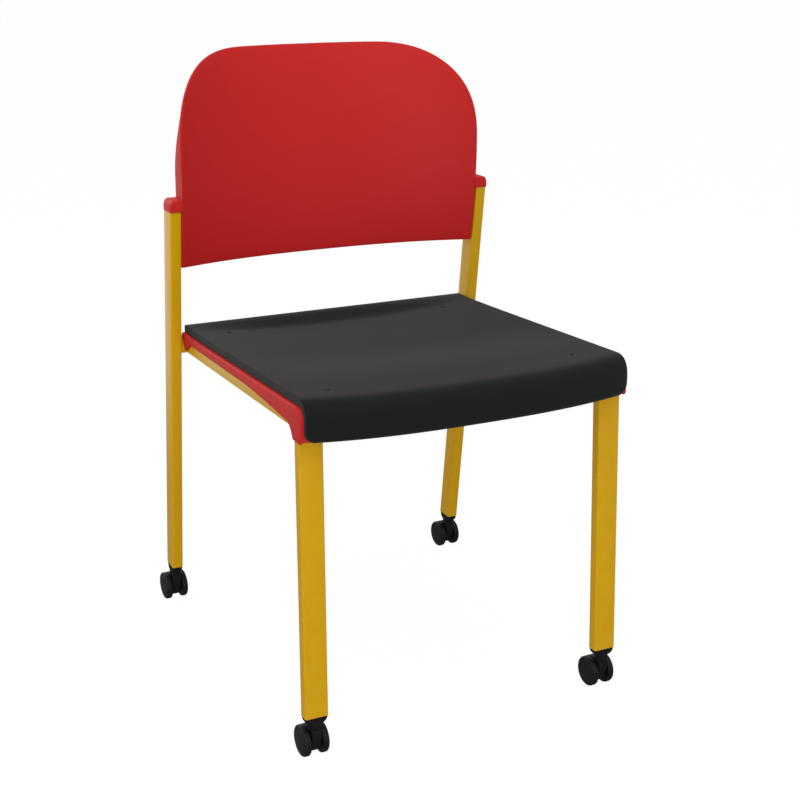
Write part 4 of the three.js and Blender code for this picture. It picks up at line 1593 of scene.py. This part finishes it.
@dataclass
class Fastenings:
    """Screws of the backrest and the seat."""

    side: SideFrame = field(default_factory=SideFrame)
    upright: Upright = field(default_factory=Upright)
    back: Backrest = field(default_factory=Backrest)
    back_heights: tuple[float, ...] = (538, 568)
    back_grip: float = 3
    back_diameter: float = 4
    back_head: float = 8
    back_head_high: float = 2.6
    seat_places: tuple[float, ...] = (-130, 130)
    seat_grip: float = 4.5
    seat_diameter: float = 4.5
    seat_head: float = 9
    seat_head_high: float = 3
    seat_socket: float = 1.7
    seat_socket_deep: float = 1.8

    def build(self) -> None:
        """Makes the eight screws."""
        seam = self.side.tube.seam
        inner = self.back.half_width - self.back.rim_thick
        reach = self.upright.inner_x + self.side.tube.wall + self.back_grip - inner + seam
        back_screw = Screw(self.back_diameter, self.back_head, self.back_head_high, reach)
        reach = self.side.tube.thin + 2 * seam + self.seat_grip
        seat_screw = Screw(
            self.seat_diameter,
            self.seat_head,
            self.seat_head_high,
            reach,
            self.seat_socket,
            self.seat_socket_deep,
        )
        low = Matrix.Translation((0, 0, -self.side.tube.thin / 2 - seam))
        for word, side in SIDES:
            for i, z in enumerate(self.back_heights):
                where = Matrix.Translation((side * (inner - seam), self.upright.centre_y(z), z))
                turned = where @ rotation(side * math.pi / 2, "Y")
                back_screw.build(f"{word}_back_screw_{i + 1}", turned)
            for i, y in enumerate(self.seat_places):
                seat_screw.build(f"{word}_seat_screw_{i + 1}", self.side.rail_matrix(side, y) @ low)


# Feet


@dataclass
class FootPlug:
    """Black plug in a tube's foot: a dome under it and a spigot inside it."""

    foot_height: float = 57.5
    seam: float = 0.3
    neck: float = 17
    high: float = 8.4
    spigot: float = 20
    squareness: float = 6
    rings: int = 12
    sides: int = 72
    bore: float = 3.9
    bore_deep: float = 7.7
    bore_flare: float = 0.5
    spigot_inset: float = 3.6
    spigot_corner: float = 1.5
    spigot_corner_steps: int = 3
    sharp: float = 50

    def build(self, name: str, x: float, y: float, wide_x: float, wide_y: float, lean: Pair) -> None:
        """Makes one plug.

        Args:
            name: Node that the plug stands for.
            x: Place of the foot's middle.
            y: Place of the foot's middle.
            wide_x: Tube's size along X.
            wide_y: Tube's size along Y.
            lean: Sideways run of the tube for each unit of height.
        """
        shape = Shape()
        brim = self.foot_height - self.seam
        low = brim - self.high
        rings = []
        for share in spread(0, 1, self.rings):
            fall = math.sqrt(1 - share**2)
            power = 2 / (2 + (self.squareness - 2) * fall)
            a, b = ((self.neck + (w - self.neck) * fall) / 2 for w in (wide_x, wide_y))
            ring = []
            for turn in self.turns():
                c, s = math.cos(turn), math.sin(turn)
                u = a * math.copysign(abs(c) ** power, c)
                v = b * math.copysign(abs(s) ** power, s)
                ring.append((x + u, y + v, brim - self.high * share))
            rings.append(ring)
        bore, flare, end = self.bore, self.bore_flare, self.foot_height + self.bore_deep
        for radius, z in ((bore + flare, low), (bore, low + flare), (bore, end)):
            rings.append([(x + radius * math.cos(t), y + radius * math.sin(t), z) for t in self.turns()])
        shape.bar(rings)
        inset, corner = self.spigot_inset, self.spigot_corner
        section = rounded_section(wide_x - inset, wide_y - inset, corner, self.spigot_corner_steps)
        levels = []
        for z in (brim, self.foot_height + self.spigot):
            rise = z - self.foot_height
            levels.append([(x + u + lean[0] * rise, y + v + lean[1] * rise, z) for u, v in section])
        shape.bar(levels)
        put(shape.to_object("visual_" + name, self.sharp), "chair", CASTOR_BLACK, name)

    def turns(self) -> list[float]:
        """Directions of the points round a ring, in radians."""
        return [2 * math.pi * (k + 0.5) / self.sides for k in range(self.sides)]


@dataclass
class Castor:
    """Twin-wheel castor about its own swivel axis, its wheels trailing along +Y.

    Places of wheel and web are measured from the wheels' axle, those of the boss from the floor.
    """

    trail: float = 10.8
    turn: float = math.radians(1.5)
    radius: float = 20
    inner: float = 7.85
    tread_edge: float = 1.6
    rim: float = 14.9
    shoulder: float = 2.8
    cheek: float = 16.2
    dome: float = 16.8
    dome_radius: float = 15
    dome_rings: Pair = (13.5, 3.0)
    groove: tuple[float, ...] = (15.6, 15.2, 14.8, 14.4)
    groove_depth: float = 0.35
    groove_lips: Pair = (0.05, 0.1)
    recess: tuple[float, ...] = (9.0, 9.6, 16.4, 17.0)
    recess_depth: float = 0.6
    bore: float = 2.8
    bore_end: float = 13.6
    bore_flare: Pair = (0.4, 0.3)
    centre: float = 0.01
    round_steps: int = 6
    shoulder_steps: int = 8
    dome_steps: int = 6
    wheel_sharp: float = 30
    web_half: float = 6.4
    web_radius: float = 14.8
    web_edge: float = 1.2
    web_steps: int = 24
    web_spacing: float = 4
    throat: float = 14
    fill_inset: float = 0.15
    fill_edge: float = 0.8
    fill_lap: float = 1
    fill_turn: float = 0.04
    fill_steps: int = 16
    fill_spacing: float = 5
    hood_inner: float = 17.5
    hood_half: float = 7.5
    hood_rear: float = math.radians(8)
    hood_front: float = math.radians(114)
    hood_edge: float = 1
    hood_edge_least: float = 0.15
    hood_edge_steps: int = 4
    hood_end_share: float = 0.9
    hood_steps: int = 30
    boss_radius: float = 8.5
    boss_foot: float = 40.6
    boss_foot_edge: float = 1
    boss_top: float = 48.4
    boss_top_edge: float = 0.8
    boss_groove: tuple[float, ...] = (3.0, 2.6, 2.2, 1.8)
    boss_groove_depth: float = 0.5
    boss_bore: float = 3.8
    boss_bore_deep: float = 5.9
    boss_steps: int = 4
    boss_sides: int = 56
    web_rise: float = 0.5
    housing_sharp: float = 38
    sides: int = 80

    def placer(self, x: float, y: float) -> Placer:
        """Carries a spot of the castor's own frame to its foot."""
        where = Matrix.Translation((x, y, 0)) @ rotation(self.turn, "Z")
        return lambda a, b, c: tuple(where @ Vector((a, b, c)))

    def wheel_profile(self) -> list[Pair]:
        """Section of a wheel, from the hub's inside over the tread to the outer face.

        Returns:
            Radius and distance from the middle plane of each point.
        """
        inner, edge, rim = self.inner, self.tread_edge, self.rim - self.tread_edge
        flare, rise = self.bore_flare
        profile = [(self.centre, self.bore_end), (self.bore, self.bore_end), (self.bore, inner + rise)]
        profile.append((self.bore + flare, inner))
        sunk = (0.0, self.recess_depth, self.recess_depth, 0.0)
        profile += [(r, inner + depth) for r, depth in zip(self.recess, sunk)]
        profile += arc((self.radius - edge, inner + edge), edge, -math.pi / 2, 0, self.round_steps)
        profile.append((self.radius, rim))
        centre, rise = self.radius - self.shoulder, self.cheek - rim
        for a in spread(0, math.pi / 2, self.shoulder_steps)[1:]:
            profile.append((centre + self.shoulder * math.cos(a), rim + rise * math.sin(a)))
        outer_lip, inner_lip = self.groove_lips
        proud = (outer_lip, -self.groove_depth, -self.groove_depth, inner_lip)
        profile += [(r, self.cheek + height) for r, height in zip(self.groove, proud)]
        for r in spread(*self.dome_rings, self.dome_steps):
            swell = 1 - (r / self.dome_radius) ** 2
            profile.append((r, self.cheek + (self.dome - self.cheek) * swell))
        profile.append((self.centre, self.dome))
        return profile

    def boss_profile(self) -> list[Pair]:
        """Section of the boss round the stem.

        Returns:
            Radius and height of each point, from the middle of its foot to the bore's floor.
        """
        r, foot, top = self.boss_radius, self.boss_foot, self.boss_top
        low, high = self.boss_foot_edge, self.boss_top_edge
        groove = (0.0, self.boss_groove_depth, self.boss_groove_depth, 0.0)
        profile = [(self.centre, foot)]
        profile += arc((r - low, foot + low), low, -math.pi / 2, 0, self.boss_steps)
        profile += [(r - depth, top - below) for below, depth in zip(self.boss_groove, groove)]
        profile += arc((r - high, top - high), high, 0, math.pi / 2, self.boss_steps)
        floor = top - self.boss_bore_deep
        return profile + [(self.boss_bore, top), (self.boss_bore, floor), (self.centre, floor)]

    def build(self, corner: str, x: float, y: float) -> None:
        """Makes the castor of one corner.

        Args:
            corner: The corner's name.
            x: Place of its stem.
            y: Place of its stem.
        """
        place = self.placer(x, y)
        for (word, side), letter in zip(SIDES, "ab"):
            wheel = Shape()
            wheel.lathe(
                self.wheel_profile(),
                self.sides,
                lambda a, b, h, side=side: place(side * h, self.trail + a, self.radius + b),
            )
            name = f"{corner}_wheel_{word}"
            piece = wheel.to_object("visual_" + name, self.wheel_sharp)
            put(piece, f"{corner}_wheel_{letter}", WHEEL_BLACK, name)
        self.build_housing(corner, place)

    def build_housing(self, corner: str, place: Placer) -> None:
        """Makes the moulded body: web, hood and boss.

        Args:
            corner: The corner's name.
            place: Carries a spot of the castor's own frame to its foot.
        """
        shape = Shape()
        half = self.web_half
        front, rear = -self.boss_radius - self.trail, self.boss_radius - self.trail
        low = self.boss_foot + self.web_rise - self.radius
        web = [(rear, low), (front, low), (front, self.throat)]
        web += arc((0, 0), self.web_radius, math.pi, 2 * math.pi, self.web_steps)
        shape.plate(
            web,
            lambda u, v, d: place(d - half, self.trail + u, self.radius + v),
            2 * half,
            self.web_edge,
            self.web_spacing,
        )
        reach, turn = self.hood_inner + self.fill_lap, self.fill_turn
        fill = [(0.0, 0.0)]
        fill += arc((0, 0), reach, self.hood_rear + turn, self.hood_front - turn, self.fill_steps)
        inner = half - self.fill_inset
        shape.plate(
            fill,
            lambda u, v, d: place(d - inner, self.trail + u, self.radius + v),
            2 * inner,
            self.fill_edge,
            self.fill_spacing,
        )
        self.add_hood(shape, place)
        shape.lathe(self.boss_profile(), self.boss_sides, place)
        name = f"{corner}_castor_housing"
        piece = shape.to_object("visual_" + name, self.housing_sharp)
        put(piece, f"{corner}_castor", CASTOR_BLACK, name)

    def add_hood(self, shape: Shape, place: Placer) -> None:
        """Adds the strip over the web.

        Args:
            shape: Shape that gets it.
            place: Carries a spot of the castor's own frame to its foot.
        """
        thick, edge = self.radius - self.hood_inner, self.hood_edge
        middle = self.hood_inner + thick / 2
        rings = []
        for a in spread(self.hood_rear, self.hood_front, self.hood_steps):
            end = min(a - self.hood_rear, self.hood_front - a) * self.radius
            shrink = max(0.0, edge - end) ** 2 * self.hood_end_share
            wide, tall = 2 * self.hood_half - 2 * shrink, thick - 2 * shrink
            corner = max(self.hood_edge_least, edge - shrink)
            section = rounded_section(wide, tall, corner, self.hood_edge_steps)
            ring = [(u, (middle + v) * math.cos(a), (middle + v) * math.sin(a)) for u, v in section]
            rings.append([place(u, self.trail + b, self.radius + c) for u, b, c in ring])
        shape.bar(rings)


# Studio and camera


@dataclass(frozen=True)
class Softbox:
    """Soft rectangular lamp, its size in metres and its power in watts."""

    name: str
    spot: Spot
    aim: Spot
    size: float
    power: float

    def build(self) -> None:
        """Makes the lamp, turned to what it lights."""
        lamp = bpy.data.lights.new(self.name, "AREA")
        lamp.shape = "SQUARE"
        lamp.size = self.size
        lamp.energy = self.power
        holder = bpy.data.objects.new(self.name, lamp)
        holder.location = self.spot
        holder.rotation_euler = (Vector(self.aim) - Vector(self.spot)).to_track_quat("-Z", "Y").to_euler()
        holder.visible_camera = False
        bpy.context.scene.collection.objects.link(holder)


@dataclass
class Studio:
    """White studio: pale floor, even sky light and soft lamps.

    The floor's size and the reaches over it are in metres.
    """

    sky: float = 0.46
    floor_size: float = 60
    floor_drop: float = 0.05
    floor_grey: float = 0.62
    floor_own_share: float = 0.95
    floor_own_level: float = 1.03
    # Painted reflection: glossy rays see the floor glow dark near the chair and brighter than white farther
    # out, a painted shade of the chair.
    floor_painted_reflection: Pair = (0.2, 1.15)
    floor_painted_reflection_reach: Pair = (0.7, 1.9)
    lamps: tuple[Softbox, ...] = (
        Softbox("top_light", spot=(-0.3, -0.9, 2.9), aim=(0, 0, 0.5), size=2.4, power=32),
        Softbox("front_light", spot=(-1.0, -2.9, 0.85), aim=(0, 0, 0.55), size=1.5, power=26),
        Softbox("left_light", spot=(-2.9, -0.2, 1.0), aim=(0, 0, 0.4), size=1.4, power=9),
        Softbox("rear_light", spot=(-1.05, 2.3, 1.45), aim=(-0.15, 0, 0.45), size=1.2, power=11),
    )

    def seen(self, nodes: Nodes) -> bpy.types.NodeSocket:
        """Tells rays that see the studio from rays that light it.

        Args:
            nodes: Placer for the tree that asks.

        Returns:
            A socket of 1 for rays of the camera, mirrors and glass, otherwise 0.
        """
        path = nodes.add("ShaderNodeLightPath").outputs
        straight = nodes.math("MAXIMUM", path["Is Camera Ray"], path["Is Transmission Ray"])
        return nodes.math("MAXIMUM", straight, path["Is Glossy Ray"])

    def build(self) -> None:
        """Makes world, floor and lamps."""
        scene = bpy.context.scene
        scene.view_settings.view_transform = "Standard"
        world = bpy.data.worlds.new("studio")
        scene.world = world
        world.use_nodes = True
        nodes = Nodes(world.node_tree)
        world.node_tree.nodes.clear()
        level = nodes.math("ADD", nodes.math("MULTIPLY", self.seen(nodes), 1.0 - self.sky), self.sky)
        sky = nodes.add("ShaderNodeBackground", Color=(1, 1, 1, 1), Strength=level)
        nodes.feed(nodes.add("ShaderNodeOutputWorld").inputs["Surface"], sky.outputs[0])
        self.build_floor()
        for lamp in self.lamps:
            lamp.build()

    def build_floor(self) -> None:
        """Makes the floor, mostly white by itself to the camera so that a faint shadow is left, and with a
        painted reflection for glossy rays: painted shade near the chair that brightens farther out.
        """
        shape = Shape()
        half = self.floor_size / 2 / MILLIMETRE
        drop = -self.floor_drop
        shape.cap([(-half, -half, drop), (half, -half, drop), (half, half, drop), (-half, half, drop)])
        floor = shape.to_object("studio_floor")
        material = bpy.data.materials.new("studio_floor")
        material.use_nodes = True
        nodes = Nodes(material.node_tree)
        material.node_tree.nodes.clear()
        path = nodes.add("ShaderNodeLightPath").outputs
        where = nodes.add("ShaderNodeTexCoord").outputs["Object"]
        reach = nodes.add("ShaderNodeVectorMath", {"operation": "LENGTH"}, Vector=where).outputs["Value"]
        # Painted reflection: emission level for glossy rays rises with distance from the chair, painted
        # shade close to it.
        painted_reflection = nodes.ramp(reach, *self.floor_painted_reflection_reach, *self.floor_painted_reflection)
        straight = nodes.math("SUBTRACT", 1.0, path["Is Glossy Ray"])
        level = nodes.math("MULTIPLY", straight, self.floor_own_level)
        level = nodes.math("ADD", level, nodes.math("MULTIPLY", path["Is Glossy Ray"], painted_reflection))
        grey = self.floor_grey
        matt = nodes.add("ShaderNodeBsdfDiffuse", Color=(grey, grey, grey, 1))
        own = nodes.add("ShaderNodeEmission", Color=(1, 1, 1, 1), Strength=level)
        mix = nodes.add("ShaderNodeMixShader")
        nodes.feed(mix.inputs[0], nodes.math("MULTIPLY", self.seen(nodes), self.floor_own_share))
        nodes.feed(mix.inputs[1], matt.outputs[0])
        nodes.feed(mix.inputs[2], own.outputs[0])
        nodes.feed(nodes.add("ShaderNodeOutputMaterial").inputs["Surface"], mix.outputs[0])
        floor.data.materials.append(material)


@dataclass(frozen=True)
class PhotoView:
    """Camera at the photograph's viewing angle, in metres and degrees."""

    spot: Spot = (-0.7729, -1.6928, 0.9704)
    yaw: float = 25.25
    pitch: float = 18.27
    lens: float = 65.6
    sensor: float = 36.0

    def build(self) -> None:
        """Makes the camera."""
        data = bpy.data.cameras.new("photo_view")
        data.lens = self.lens
        data.sensor_width = self.sensor
        camera = bpy.data.objects.new("photo_view", data)
        camera.location = self.spot
        camera.rotation_euler = (math.radians(90 - self.pitch), 0, -math.radians(self.yaw))
        bpy.context.scene.collection.objects.link(camera)
        bpy.context.scene.camera = camera


# Assembly


@dataclass
class Chair:
    """Whole chair in its frame."""

    side: SideFrame = field(default_factory=SideFrame)
    upright: Upright = field(default_factory=Upright)
    cross: CrossTube = field(default_factory=CrossTube)
    plug: FootPlug = field(default_factory=FootPlug)
    castor: Castor = field(default_factory=Castor)

    def build_frame(self) -> None:
        """Makes the tube frame."""
        for word, side in SIDES:
            self.side.build(side, word)
            self.upright.build(side, word)
        cross, seam = self.cross, self.side.tube.seam
        half = self.upright.inner_x - seam
        cross.build("rear_cross_tube", half, cross.rear_y, cross.rear_height, weld=True)
        half = self.side.rail_x - self.side.tube.wide / 2 - seam
        height = self.side.rail_centre(cross.front_y) - cross.front_drop
        cross.build("front_cross_tube", half, cross.front_y, height, weld=False)

    def build_feet(self) -> None:
        """Makes the plugs and castors."""
        side, upright = self.side, self.upright
        tube = side.tube
        rise = side.knee()[1] - side.foot_height
        for word, sign in SIDES:
            x, y = sign * side.leg_x, side.foot_front_y + tube.thin / 2
            lean = (-sign * side.foot_spread / rise, math.tan(side.rake))
            self.plug.build(f"front_{word}_plug", x, y, tube.wide, tube.thin, lean)
            self.castor.build(f"front_{word}", x, y)
            x, y = sign * (upright.inner_x + tube.thin / 2), upright.centre_y(upright.foot_height)
            lean = (0.0, -math.tan(upright.lean))
            self.plug.build(f"rear_{word}_plug", x, y, tube.thin, upright.long, lean)
            self.castor.build(f"rear_{word}", x, y)

    def dress_pins(self) -> None:
        """Dresses the hidden steel parts of the castors, which keep their own solids."""
        for name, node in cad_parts.items():
            if name.endswith(("_stem", "_grip_ring", "_axle")):
                PIN_STEEL.dress(node)
                LOG.info("%s: solid kept, dressed as %s", name, PIN_STEEL.slot)

    def build(self) -> None:
        """Makes every piece in order."""
        self.build_frame()
        SeatPad().build()
        SeatShell().build()
        Backrest().build()
        Fastenings().build()
        self.build_feet()
        self.dress_pins()


def main() -> None:
    """Builds camera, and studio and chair."""
    logging.basicConfig(level=logging.INFO, format="%(message)s")
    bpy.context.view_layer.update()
    PhotoView().build()
    Studio().build()
    build_effects()
    Chair().build()


if __name__ == "__main__":
    main()
